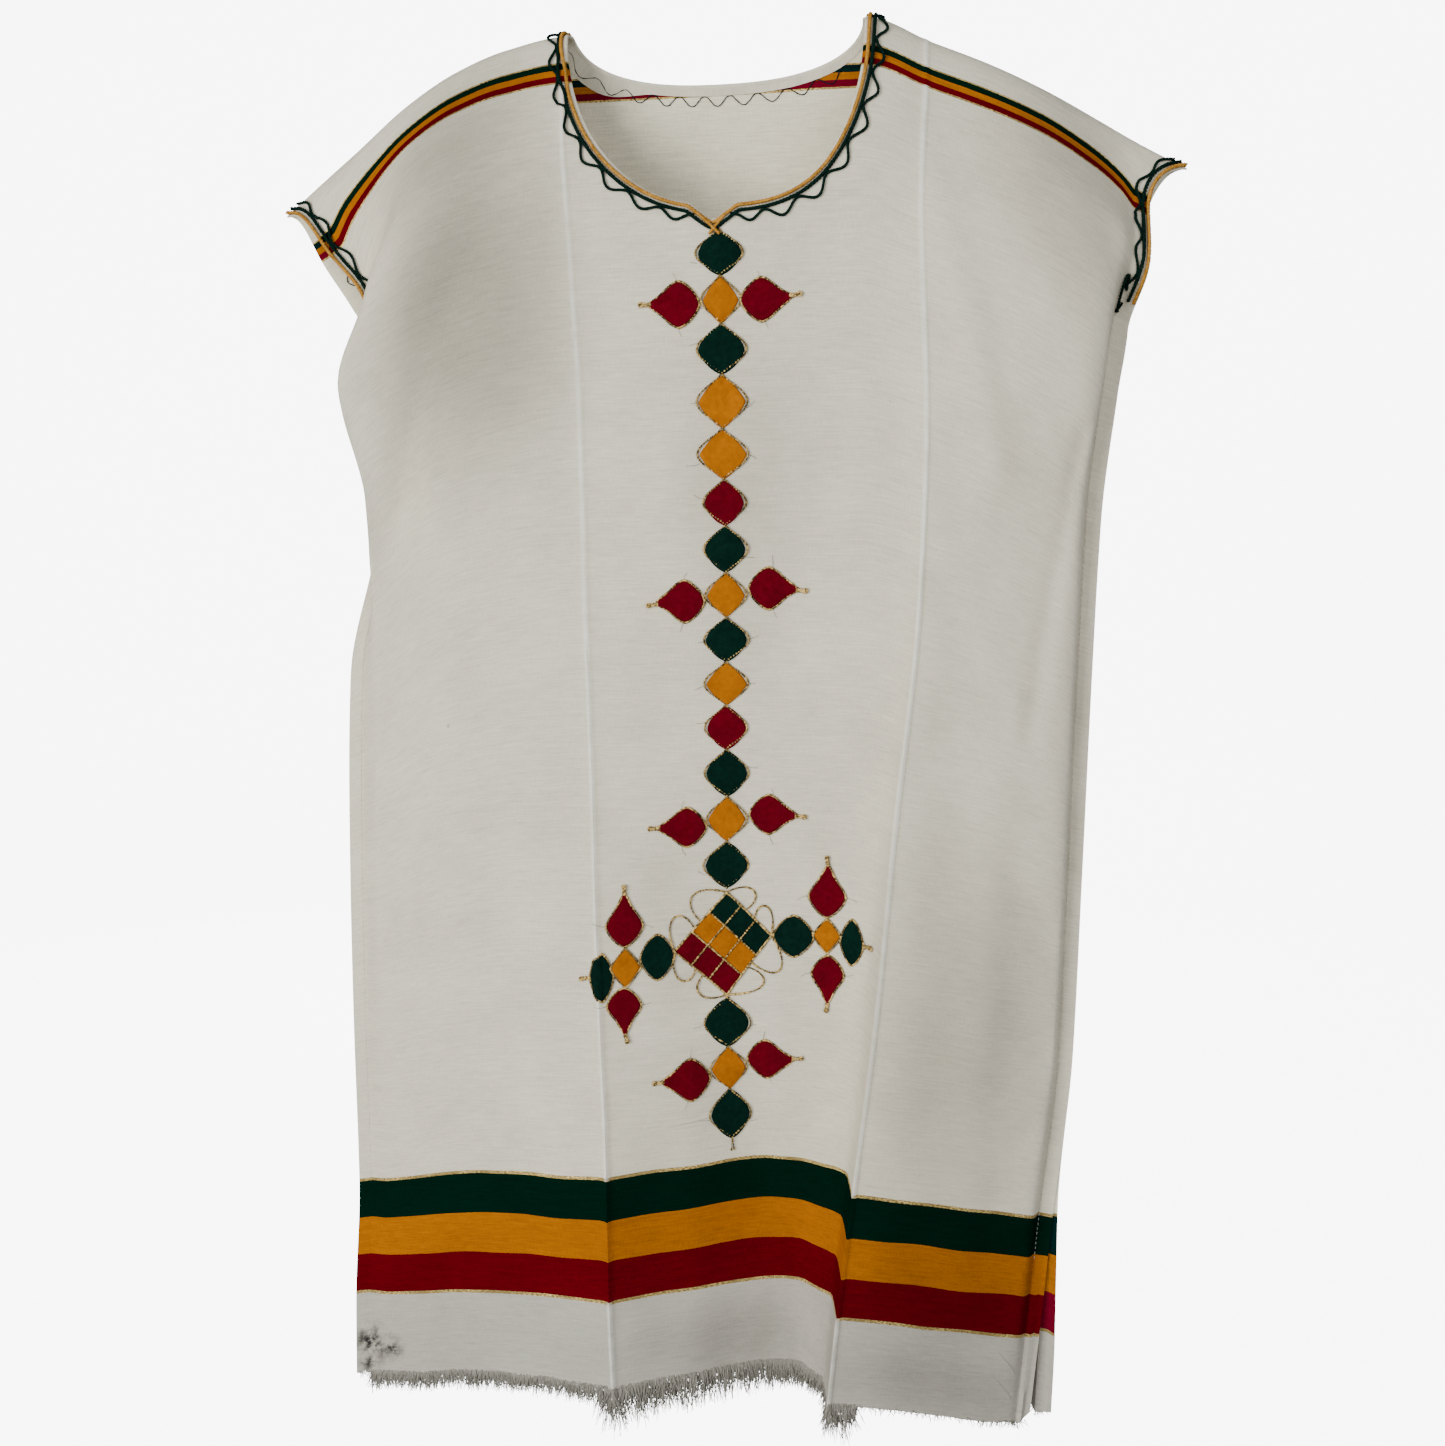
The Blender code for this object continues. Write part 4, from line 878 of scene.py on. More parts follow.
def buildSleeveTrim(name, hand):
    frontEnd, backEnd = trim["sleeveEnds"][name]
    made = []

    def lay(label, node, along, inset, radius, colour):
        path = np.column_stack([np.full(len(along), 1.0) * hand * (1 - inset / trim["sleeveScale"])
                                * cloth["halfWidth"], along])
        points = lifted(path, radius + trim["lie"])
        cord = laidCord(name + label, [points], False, radius, trim["turns"], 3, cordFinishes[colour])
        made.append(sewn(cord, name + node, slot=colour))

    ways = np.linspace(-1, 1, 170)
    along = np.sign(ways) * np.where(ways > 0, frontEnd, backEnd) * abs(ways) ** 1.3
    lay("SleeveEdgeCord", "_sleeve_edge_cord", along, trim["edgeInset"], trim["cordRadius"], "yellow")
    lay("SleeveGreenCord", "_sleeve_green_cord", along, trim["greenInset"], trim["cordRadius"], "green")
    along = np.linspace(trim["waveShort"] - backEnd, frontEnd - trim["waveShort"], 260)
    inset = waveInset(along - along[0], trim["sleevePeriod"], random.Random(8 + hand))
    flatter = (trim["sleeveFar"] - trim["sleeveNear"]) / (trim["waveFar"] - trim["waveNear"])
    inset = trim["sleeveNear"] + (inset - trim["waveNear"]) * flatter
    if hand > 0:
        ring = np.linspace(*trim["loopTurn"], 60)    # the last loop of the wave, under the right sleeve
        along = np.concatenate([along, frontEnd + trim["loopAlong"] * np.sin(ring)])
        inset = np.concatenate([inset, trim["loopInset"] + trim["loopAcross"] * np.cos(ring)])
    lay("SleeveWaveCord", "_sleeve_wave_cord", along, inset, trim["waveRadius"], "green")
    return made


neckTrim = buildNeckTrim()
sleeveTrim = buildSleeveTrim("left", -1) + buildSleeveTrim("right", 1)
print("corded trim made")


# Motif: raised pieces of felted cloth
motif = {"thick": 0.0015, "lie": 0.0003, "leanTop": 0.018, "lean": 0.040,
         "upperTop": 0.166, "lowerTop": 0.758, "medallionDown": 0.711, "tableStep": 0.0025, "tableDown": (0.150, 0.925),
         "tableAcross": (-0.150, 0.1501), "tableShares": (-0.62, 0.80, 285), "goldRadius": 0.00100, "goldLie": 0.0008}
upperChain = (
    ("green", 32, 33), ("yellow", 34, 27), ("green", 36, 35), ("yellow", 39, 36), ("yellow", 37, 36),
    ("red", 34, 30), ("green", 35, 31), ("yellow", 34, 29), ("green", 34, 32), ("yellow", 34, 32),
    ("red", 35, 31), ("green", 38, 33), ("yellow", 37, 30), ("green", 39, 34))
lowerChain = (("green", 44, 36), ("yellow", 38, 28), ("green", 46, 32))
sideDrops = (    # name, down, across, height, width, tail, in mm
    ("side_drop_left_1", 217, -31, 33, 31, 7), ("side_drop_right_1", 215, 30, 31, 31, 7),
    ("side_drop_left_2", 434, -31, 32, 30, 8), ("side_drop_right_2", 425, 32, 32, 30, 8),
    ("side_drop_left_3", 612, -31, 32, 30, 8), ("side_drop_right_3", 602, 33, 32, 30, 8),
    ("side_drop_left_4", 827, -30, 37, 30, 8), ("side_drop_right_4", 813, 31, 35, 31, 8))
armPatches = (   # name, colour, down, across, height, width, tip, in mm
    ("left_arm_inner", "green", 719, -54, 38, 26, 0), ("left_arm_cross", "yellow", 726, -78.5, 32, 23, 0),
    ("left_arm_outer", "green", 733, -96.9, 40, 18, 0), ("left_arm_upper", "red", 691, -79, 34, 28, -12),
    ("left_arm_lower", "red", 758, -80, 30, 26, 12), ("right_arm_inner", "green", 704, 54, 35, 32, 0),
    ("right_arm_cross", "yellow", 702, 81, 29, 22, 0), ("right_arm_outer", "green", 705, 101, 38, 18, 0),
    ("right_arm_upper", "red", 669, 80.5, 34, 29, -12), ("right_arm_lower", "red", 735, 82, 32, 26, 12))
medallionCorners = ((0, -44), (36, -7), (0, 44), (-41, 4))


def chainShare(down):
    return motif["leanTop"] - motif["lean"] * smoothStep(0.380, 0.860, down)


# The front's share at even steps across from the chain's middle and down the cloth
def besideTable():
    step = motif["tableStep"]
    downs, acrosses = np.arange(*motif["tableDown"], step), np.arange(*motif["tableAcross"], step)
    shares = np.linspace(*motif["tableShares"])
    x = sectionAt("front", np.tile(shares, len(downs)), np.repeat(downs, len(shares)))[0]
    x = x.reshape(len(downs), len(shares))
    return downs, acrosses, np.array([np.interp(np.interp(chainShare(low), shares, row) + acrosses, row, shares)
                                      for low, row in zip(downs, x)])


besideShares = besideTable()


# The front's share where the cloth lies a distance across from the chain's middle
def shareBeside(across, down):
    downs, acrosses, table = besideShares
    across, down = np.broadcast_arrays(np.atleast_1d(across).astype(float), np.atleast_1d(down).astype(float))
    row = np.clip((down - downs[0]) / motif["tableStep"], 0, len(downs) - 1.001)
    column = np.clip((across - acrosses[0]) / motif["tableStep"], 0, len(acrosses) - 1.001)
    i, j = row.astype(int), column.astype(int)
    p, q = row - i, column - j
    return ((1 - p) * ((1 - q) * table[i, j] + q * table[i, j + 1])
            + p * ((1 - q) * table[i + 1, j] + q * table[i + 1, j + 1]))


# Across and along on the unfolded cloth, for distances beside the chain
def motifPlaces(across, down):
    return np.column_stack([shareBeside(across, down) * cloth["halfWidth"], down])


# Rounded diamond with drawn-in tips, and one corner drawn out into a tail
def patchOutline(height, width, tailAcross=0.0, tailDown=0.0, count=44, grown=0.0, bend=0.0, straight=1.35):
    angle = np.linspace(0, 2 * math.pi, count, endpoint=False)
    across = 0.5 * width * np.sign(np.cos(angle)) * abs(np.cos(angle)) ** straight
    down = 0.5 * height * np.sign(np.sin(angle)) * abs(np.sin(angle)) ** straight
    if tailAcross:
        outward = np.clip(np.cos(angle) * np.sign(tailAcross), 0, 1)
        across = across + tailAcross * outward**11
        down = down + bend * outward**14
    if tailDown:
        outward = np.clip(np.sin(angle) * np.sign(tailDown), 0, 1)
        down = down + tailDown * outward**11
        across = across + bend * outward**14
    outline = np.column_stack([across, down])
    if grown:
        size = np.linalg.norm(outline, axis=1)[:, None]
        outline = outline * (1 + grown / np.maximum(size, 0.002))
    return outline


# Felted cloth: short fibres lying every way, with painted shade in the hollows between them, where the colour follows
# the bump's noise
def feltMaterial(name, colour, light):
    material, tree, shader = newMaterial(name)
    at = put(tree, "ShaderNodeTexCoord").outputs["Object"]
    fibre = noise(tree, scaled(tree, at, 1.0, 1.0, 2.2), 1400.0, 3.0, 0.6)
    tuft = noise(tree, at, 260.0, 3.0)
    cloud = noise(tree, at, 50.0, 2.0)
    fac = ramp(tree, plus(tree, times(tree, fibre, 0.5), times(tree, tuft, 0.5)), (0.36, 0.66))
    dull = ramp(tree, cloud, (0.3, 0.7), (0.85, 1.12))
    link(tree, shaded(tree, mixed(tree, fac, colour, light), dull), shader, "Base Color")
    link(tree, ramp(tree, fibre, (0.0, 1.0), (0.82, 1.0)), shader, "Roughness")
    shader.inputs["Specular IOR Level"].default_value = 0.05
    raised(tree, shader, plus(tree, times(tree, fibre, 0.6), tuft), 0.0006, 0.7)
    return material


felts = {
    "green": feltMaterial("greenFelt", (0.0004, 0.0095, 0.0062), (0.0012, 0.0185, 0.0125)),
    "yellow": feltMaterial("yellowFelt", (0.33, 0.095, 0.0004), (0.46, 0.145, 0.0012)),
    "red": feltMaterial("redFelt", (0.088, 0.0002, 0.004), (0.132, 0.0008, 0.0085))}
padding = (    # share of the outline, and share of the thickness, from the edge to the middle
    (1.0, 0.0), (1.0, 0.45), (0.985, 0.75), (0.955, 0.93), (0.90, 1.0), (0.75, 1.04), (0.5, 1.08), (0.25, 1.1))
motifThread = []      # gold cord paths
looseEnds = []        # where short ends of dark thread leave the edges


# A soft padded piece: its edge is turned under, and its face is gently domed
def buildPatch(name, node, colour, down, across, outline):
    count = len(outline)
    points = []
    for scale, height in padding:
        spots = outline * scale
        places = motifPlaces(across + spots[:, 0], down + spots[:, 1])
        points.append(lifted(places, motif["lie"] + height * motif["thick"]))
    hub = motifPlaces(np.array([across]), np.array([down]))
    points.append(lifted(hub, motif["lie"] + 1.1 * motif["thick"]))
    points.append(lifted(hub, motif["lie"]))
    points = np.vstack(points)
    top, bottom = len(points) - 2, len(points) - 1
    faces = []
    for low in range(len(padding) - 1):
        for i in range(count):
            j = (i + 1) % count
            faces.append((low * count + i, low * count + j, (low + 1) * count + j, (low + 1) * count + i))
    last = (len(padding) - 1) * count
    for i in range(count):
        j = (i + 1) % count
        faces.append((last + i, last + j, top))
        faces.append((j, i, bottom))
    patch = meshObject(name, points, faces, [felts[colour]])
    facingOut(patch)
    return sewn(patch, node, slot=colour)


chance = random.Random(21)


def buildChain(rows, top, firstNumber):
    spans = []
    for number, (colour, height, width) in enumerate(rows, firstNumber):
        middle = top + height * 0.0005
        outline = patchOutline(height * mm - 0.0012, width * mm - 0.0012,
                               straight=1.6 if colour == "yellow" else 1.35)
        label, node = "chainPatch%02d" % number, "chain_patch_%02d" % number
        buildPatch(label, node, colour, middle, 0.0, outline)
        spans.append((top, top + height * mm, width * mm, chance.uniform(-0.0006, 0.0006)))
        top += height * mm
    return spans


# Two gold cords that pass down either side of each piece and cross at the joints
def chainCords(spans, tailTop, tailBottom):
    for hand in (-1, 1):
        across, down = [], []
        way = hand
        if tailTop:
            down.append(spans[0][0] - tailTop)
            across.append(-hand * 0.002)
        for low, high, width, jitter in spans:
            t = np.linspace(0.0, 1.0, 26)[:-1]
            half = (0.5 * width + 0.0008) * np.sin(math.pi * t) ** 1.3 + 0.0011 * np.cos(math.pi * t)
            across += list(way * half + jitter)
            down += list(low + (high - low) * t)
            way = -way
        across.append(0.0)
        down.append(spans[-1][1])
        if tailBottom:
            down.append(spans[-1][1] + tailBottom)
            across.append(way * 0.0012)
        motifThread.append(lifted(motifPlaces(np.array(across), np.array(down)),
                                  motif["lie"] + motif["goldLie"] + (0.0004 if hand > 0 else 0.0)))
        for low, high, width, jitter in spans:
            if chance.random() < 0.75:
                at = low + (high - low) * chance.uniform(0.35, 0.7)
                looseEnds.append((hand * (0.5 * width + 0.0008), at, hand))


upperSpans = buildChain(upperChain, motif["upperTop"], 1)
lowerSpans = buildChain(lowerChain, motif["lowerTop"], len(upperChain) + 1)
chainCords(upperSpans, 0.005, 0.0)
chainCords(lowerSpans, 0.004, 0.010)


# Gold cord round a piece, which ends in a twisted tail
def cordRound(across, down, outline, tail, turned):
    order = np.roll(outline, -int(turned), axis=0)
    order = np.vstack([order, order[:2]])
    spots = motifPlaces(across + order[:, 0], down + order[:, 1])
    motifThread.append(lifted(spots, motif["lie"] + motif["goldLie"]))
    if tail is not None:
        t = np.linspace(0, 1, 22)
        start = np.array(tail[0])
        run = np.array(tail[1])
        side = np.array([-run[1], run[0]]) / np.linalg.norm(run)
        for sign in (-1, 1):
            swing = sign * 0.0011 * np.sin(t * math.pi * 3.0) * (1 - 0.3 * t)
            curve = start + t[:, None] * run + swing[:, None] * side
            if sign > 0:
                ring = np.linspace(0, 2 * math.pi, 12)
                knot = 0.0014 * np.column_stack([np.cos(ring), np.sin(ring)])
                curve = np.vstack([curve, start + run * 1.05 + knot])
            spots = motifPlaces(across + curve[:, 0], down + curve[:, 1])
            motifThread.append(lifted(spots, motif["lie"] + 0.0009 + 0.0007 * (sign + 1) / 2))


for node, down, across, height, width, tail in sideDrops:
    hand = math.copysign(1, across)
    size = (height * mm - 0.001, width * mm - 0.001)
    bend = chance.uniform(-0.0022, 0.0030)
    outline = patchOutline(*size, tailAcross=hand * (tail + 2) * mm, bend=bend)
    label = node.replace("side_drop_", "sideDrop").replace("left_", "Left").replace("right_", "Right")
    buildPatch(label, node, "red", down * mm, across * mm, outline)
    around = patchOutline(*size, tailAcross=hand * tail * mm, grown=0.0007, count=60, bend=bend)
    tip = hand * (0.5 * width + tail - 2) * mm
    cordRound(across * mm, down * mm, around, ((tip, bend), (hand * 0.007, 0.6 * bend)), 30)
    for along in (-1, 1):
        looseEnds.append((across * mm + hand * chance.uniform(-2, 4) * mm,
                          down * mm + along * (0.5 * height + 0.5) * mm, (0, along)))

for node, colour, down, across, height, width, tip in armPatches:
    size = (height * mm - 0.001, width * mm - 0.001)
    straight = 1.75 if colour == "yellow" else 1.35
    outline = patchOutline(*size, tailDown=tip * mm, straight=straight)
    label = node.split("_")[0] + "".join(word.capitalize() for word in node.split("_")[1:])
    buildPatch(label, node, colour, down * mm, across * mm, outline)
    drawn = (tip - math.copysign(2, tip)) * mm if tip else 0.0
    around = patchOutline(*size, tailDown=drawn, grown=0.0009, count=60, straight=straight)
    tail = None
    if tip:
        end = math.copysign(0.5 * height, tip) * mm + (tip - math.copysign(3, tip)) * mm
        tail = ((0.0, end), (chance.uniform(-0.002, 0.002), math.copysign(0.006, tip)))
    elif "outer" in node:
        hand = math.copysign(1, across)
        tail = ((hand * 0.5 * width * mm, 0.0), (hand * 0.007, chance.uniform(-0.002, 0.002)))
    cordRound(across * mm, down * mm, around, tail, 15 if tip < 0 else 45)
    if tip:
        for hand in (-1, 1):
            looseEnds.append((across * mm + hand * (0.5 * width + 0.5) * mm, down * mm, (hand, 0)))


# Medallion: three bands of cloth, lines of gold across them and petal loops round it
corners = [np.array(corner) * mm for corner in medallionCorners]


def onMedallion(p, q):
    return (1 - q) * ((1 - p) * corners[0] + p * corners[1]) + q * ((1 - p) * corners[3] + p * corners[2])


def buildMedallion():
    steps = 36
    spots, faces, marks = [], [], []
    for layer in (0, 1):
        for a in range(steps + 1):
            for b in range(steps + 1):
                p, q = a / steps, b / steps
                spot = onMedallion(p, q)
                inward = min(p, q, 1 - p, 1 - q)
                height = 0.0 if layer == 0 else motif["thick"] * (0.45 + 0.6 * min(1.0, inward * 9) ** 0.5)
                if layer == 1:
                    for line in (1 / 3, 2 / 3):
                        height -= 0.0004 * math.exp(-((q - line) / 0.02)**2)
                spots.append((spot[0], motif["medallionDown"] + spot[1], motif["lie"] + height))
    spots = np.array(spots)
    points = lifted(motifPlaces(spots[:, 0], spots[:, 1]), spots[:, 2])
    side = steps + 1
    for layer in (0, 1):
        for a in range(steps):
            for b in range(steps):
                k = layer * side * side + a * side + b
                faces.append((k, k + side, k + side + 1, k + 1))
                marks.append(min(2, int(3 * b / steps)))
    ring = [a * side for a in range(side)] + [steps * side + b for b in range(1, side)]
    ring += [a * side + steps for a in range(steps - 1, -1, -1)] + [b for b in range(steps - 1, 0, -1)]
    for p, q in zip(ring, ring[1:] + ring[:1]):
        faces.append((p, q, q + side * side, p + side * side))
        marks.append(min(2, int(3 * (min(p % side, q % side)) / steps)))
    piece = meshObject("medallionCloth", points, faces, [felts["green"], felts["yellow"], felts["red"]])
    piece.data.polygons.foreach_set("material_index", marks)
    facingOut(piece)
    return sewn(piece, "medallion", slot="yellow")


petalTips = (    # corner, next corner, share of the side where the loop comes back, tip across and down in mm
    (0, 3, 0.50, -27, -42, 9), (0, 1, 0.42, 22, -45, 9), (1, 0, 0.38, 32, -32, 9), (1, 2, 0.46, 43, 23, 9),
    (2, 1, 0.46, 30, 35, 9), (2, 3, 0.45, -22, 43, 9), (3, 2, 0.40, -36, 30, 9), (3, 0, 0.38, -41, -25, 9))


# Outline, cross lines and petal loops of the medallion, in gold cord
def medallionThread():
    def lay(path, height):
        path = np.array(path)
        spots = motifPlaces(path[:, 0], motif["medallionDown"] + path[:, 1])
        motifThread.append(lifted(spots, height))

    edge = [a + (b - a) * t for a, b in zip(corners, corners[1:] + corners[:1]) for t in np.linspace(0, 1, 16)[:-1]]
    lay(edge + edge[:1], motif["lie"] + 0.0010)
    for q in (1 / 3, 2 / 3):
        lay([onMedallion(p, q) for p in np.linspace(0.01, 0.99, 20)], motif["lie"] + motif["thick"] + 0.0002)
    for p in (0.31, 0.64):
        lay([onMedallion(p, q) for q in np.linspace(0.0, 1.0, 24)], motif["lie"] + motif["thick"] * 1.05 + 0.0005)
    for near, far, share, tipX, tipY, width in petalTips:
        start, back = corners[near], corners[near] + (corners[far] - corners[near]) * share
        tip = np.array([tipX, tipY]) * mm
        middle = 0.5 * (start + back)
        out = (tip - middle) / np.linalg.norm(tip - middle)
        side = np.array([-out[1], out[0]])
        if side @ (start - back) < 0:
            side = -side
        far = middle + (tip - middle) * 1.31
        t = np.linspace(0, 1, 26)[:, None]
        first, last = far + side * width * mm, far - side * width * mm
        loop = (1 - t)**3 * start + 3 * (1 - t)**2 * t * first + 3 * (1 - t) * t**2 * last + t**3 * back
        lay(loop, motif["lie"] + 0.0007)


buildMedallion()
medallionThread()
goldCord = laidCord("goldCouching", motifThread, False, motif["goldRadius"], 260.0, 2, cordFinishes["gold"])
sewn(goldCord, slot="yellow")


# Short ends of dark thread that stand out from the motif's edges
threadEnds = {"shortest": 0.004, "longest": 0.009, "radius": 0.00016, "seed": 4}


def buildThreadEnds():
    rng = random.Random(threadEnds["seed"])
    paths = []
    for across, down, way in looseEnds:
        way = np.array(way if isinstance(way, tuple) else (way, rng.uniform(-0.6, 0.6)), float)
        way = way / np.linalg.norm(way)
        length = rng.uniform(threadEnds["shortest"], threadEnds["longest"])
        bend = rng.uniform(-0.5, 0.5)
        side = np.array([-way[1], way[0]])
        t = np.linspace(-0.15, 1, 7)
        curve = np.array([across, down]) + length * (t[:, None] * way + bend * (t**2)[:, None] * side)
        spots = motifPlaces(curve[:, 0], curve[:, 1])
        paths.append(lifted(spots, 0.0005 + 0.0012 * np.clip(t, 0, 1) * rng.uniform(0.3, 1.2)))
    return laidCord("threadEnds", paths, False, threadEnds["radius"], 200.0, 1, cordFinishes["dark"])


ends = sewn(buildThreadEnds(), slot="green")


# Fringe of loose warp ends
fringe = {"perMetre": 8400, "length": 0.014, "spread": 0.32, "radius": 0.00054, "seed": 7, "bareLeft": -0.96,
          "bareRight": {"front": 0.50, "back": 0.80}, "longest": 1.5, "turns": {"front": 3, "back": 9},
          "peaks": ((-0.297, 0.035), (0.455, 0.035)), "ends": 0.992, "backPeak": 0.3, "wornLength": 0.35}


# A few curled strands that hang from their own origin
def strandShapes(folder):
    rng = random.Random(fringe["seed"])
    for number in range(5):
        steps, sides = 5, 3
        curlX, curlY = rng.uniform(-0.35, 0.35), rng.uniform(-0.30, 0.30)
        wiggle = rng.uniform(0.3, 0.9)
        points, faces = [], []
        for k in range(steps + 1):
            t = k / steps
            radius = fringe["radius"] * (1.0 - 0.55 * t)
            x = fringe["length"] * (curlX * t * t + 0.05 * wiggle * math.sin(t * 7 + number))
            y = fringe["length"] * (curlY * t * t + 0.05 * wiggle * math.cos(t * 6 + 2 * number))
            for side in range(sides):
                angle = 2 * math.pi * side / sides
                points.append((x + radius * math.cos(angle), y + radius * math.sin(angle), -fringe["length"] * t))
        for k in range(steps):
            for side in range(sides):
                a, b = k * sides + side, k * sides + (side + 1) % sides
                faces.append((a, b, b + sides, a + sides))
        faces += [(0, 2, 1), (steps * sides, steps * sides + 1, steps * sides + 2)]
        strand = meshObject("strand%d" % number, points, [face[::-1] for face in faces], [])
        scene.collection.objects.unlink(strand)
        folder.objects.link(strand)


def buildFringeTree():
    tree, given, gone = newMaker("fringe", ("Strands", "Collection", None), ("Spread", "Float", 0.3),
                                 ("Seed", "Int", 3))
    choice = put(tree, "GeometryNodeCollectionInfo", {
        "Collection": given.outputs["Strands"], "Separate Children": True, "Reset Children": True})
    spread = given.outputs["Spread"]
    back = times(tree, spread, -1.0)
    low = put(tree, "ShaderNodeCombineXYZ", {0: back, 1: back, 2: 0.0})
    high = put(tree, "ShaderNodeCombineXYZ", {0: spread, 1: spread, 2: 6.28})
    turn = put(tree, "FunctionNodeRandomValue", {
        0: low.outputs[0], 1: high.outputs[0], "Seed": given.outputs["Seed"]}, data_type="FLOAT_VECTOR")
    size = put(tree, "FunctionNodeRandomValue", {2: 0.40, 3: 1.2, "Seed": given.outputs["Seed"]}, data_type="FLOAT")
    long = put(tree, "GeometryNodeInputNamedAttribute", {"Name": "strandLength"}, data_type="FLOAT")
    grown = put(tree, "ShaderNodeCombineXYZ", {
        0: 1.0, 1: 1.0, 2: times(tree, size.outputs[1], long.outputs["Attribute"])})
    copies = put(tree, "GeometryNodeInstanceOnPoints", {
        "Points": given.outputs["Geometry"], "Instance": choice.outputs[0], "Pick Instance": True,
        "Scale": grown.outputs[0], "Rotation": turn.outputs[0]})
    return handOver(tree, given, gone, copies.outputs[0])


fringeTree = buildFringeTree()
strandFolder = bpy.data.collections.new("strands")
scene.collection.children.link(strandFolder)
strandShapes(strandFolder)


def fringeMaterial():
    material, tree, shader = newMaterial("fringeThread")
    at = put(tree, "ShaderNodeTexCoord").outputs["Object"]
    tone = noise(tree, at, 300.0, 2.0)
    # The loose ends are a darker grey than the cotton they come from, as painted shade; the tone also varies at random
    # along them
    link(tree, mixed(tree, tone, (0.24, 0.228, 0.195), (0.42, 0.402, 0.35)), shader, "Base Color")
    link(tree, ramp(tree, tone, (0.0, 1.0), (0.8, 1.0)), shader, "Roughness")
    shader.inputs["Specular IOR Level"].default_value = 0.0
    return material


fringeFinish = fringeMaterial()


def buildFringe(side):
    rng = random.Random(fringe["seed"] + len(side))
    count = int(fringe["perMetre"] * 2 * cloth["halfWidth"])
    share = np.sort([rng.uniform(-fringe["ends"], fringe["ends"]) for _ in range(count)])
    broken = (share < fringe["bareLeft"]) | (share > fringe["bareRight"][side])
    share = share[~broken | (np.arange(count) % 9 == 0)]
    count = len(share)
    down = cloth["length"] - np.array([rng.uniform(0.0, 0.003) for _ in range(count)])
    down = down - cornerLift(share, down)
    roots = clothPoints(side, share, down)
    roots[:, 2] += np.array([rng.uniform(-0.0005, 0.0) for _ in range(count)])
    away = -1 if side == "front" else 1
    roots[:, 1] += away * np.array([rng.uniform(-0.0004, 0.0008) for _ in range(count)])
    near = abs(share) > 0.9
    roots[near, 1] = away * np.maximum(away * roots[near, 1], 0.0007)
    source = meshObject(side + "Roots", roots, [], [])
    right = smoothStep(-0.34, -0.27, share) * np.clip((0.42 - share) / 0.72, 0, 1)
    first, second = (np.exp(-((share - spot) / reach)**2) for spot, reach in fringe["peaks"])
    peak = np.maximum(first, 0.80 * right) + 0.75 * second
    if side == "back":
        peak = fringe["backPeak"] * np.ones(count)
    broken = (share < fringe["bareLeft"]) | (share > fringe["bareRight"][side])
    source.data.attributes.new("strandLength", "FLOAT", "POINT").data.foreach_set(
        "value", np.where(broken, fringe["wornLength"], 1 + fringe["longest"] * peak))
    values = {"Strands": strandFolder, "Spread": fringe["spread"], "Seed": fringe["turns"][side],
              "Finish": fringeFinish}
    return sewn(worked(source, side + "Fringe", fringeTree, values), side + "_fringe", slot="cotton")


frontFringe = buildFringe("front")
backFringe = buildFringe("back")
for strand in list(strandFolder.objects):
    bpy.data.objects.remove(strand, do_unlink=True)
bpy.data.collections.remove(strandFolder)
print("fringe made")


# Turned lip of the neck, and rows of stitches
lip = {"radius": 0.0013, "inset": 0.0002, "flat": 1.6, "least": 0.35, "turning": 0.0058, "turningThick": 0.0007,
       "threadRadius": 0.00050, "threadPeriod": 0.021, "threadSwing": 0.0034, "crossRadius": 0.0012, "facing": 1.6,
       "plainTo": -0.030, "innerRow": 0.0100, "innerSwing": 0.0036, "innerPeriod": 0.023, "crossDown": 0.1552,
       "crossRun": 0.0135}


def ringFaces(rings, sides):    # a closed row of closed rings
    return [(i * sides + k, i * sides + (k + 1) % sides, ((i + 1) % rings) * sides + (k + 1) % sides,
             ((i + 1) % rings) * sides + k) for i in range(rings) for k in range(sides)]


def buildNeckLip():
    edge, _ = spaced(neckLoop(True), 700, True)
    sides = 10
    out = abs(edge[:, 0] - neckShare(0) * cloth["halfWidth"]) / neckHalf()
    size = np.where(edge[:, 1] > 0, lip["least"] + (1 - lip["least"]) * smoothStep(0.30, 0.85, out), 1.0)[:, None]
    inner, outs = onCloth(edge)
    inward = pushedOut(edge, 0.001, True)
    away = onCloth(inward)[0] - inner
    away /= np.linalg.norm(away, axis=1)[:, None]
    points, places = [], []    # ring by ring round the lip
    for k in range(sides):
        angle = 2 * math.pi * k / sides
        points.append(inner + away * (lip["inset"] + size * lip["radius"] * lip["flat"] * math.cos(angle))
                      + outs * lip["radius"] * (0.6 + 0.4 * size) * math.sin(angle))
        spots = edge + (inward - edge) * 2 * math.cos(angle)
        places.append(np.column_stack([spots[:, 0], np.maximum(spots[:, 1], lip["plainTo"])]))
    points = np.stack(points, axis=1).reshape(-1, 3)
    places = np.stack(places, axis=1).reshape(-1, 2)
    piece = meshObject("neckLip", points, ringFaces(len(edge), sides), [plainCloth])
    addPlaces(piece, places)
    facingOut(piece)
    return sewn(piece, slot="cotton")


neckLip = buildNeckLip()


# Points on the cloth's inside, from a path of across and along on the unfolded cloth
def underside(path, depth):
    middle, normal = onCloth(path)
    return middle - normal * (cloth["wall"] / 2 + depth)


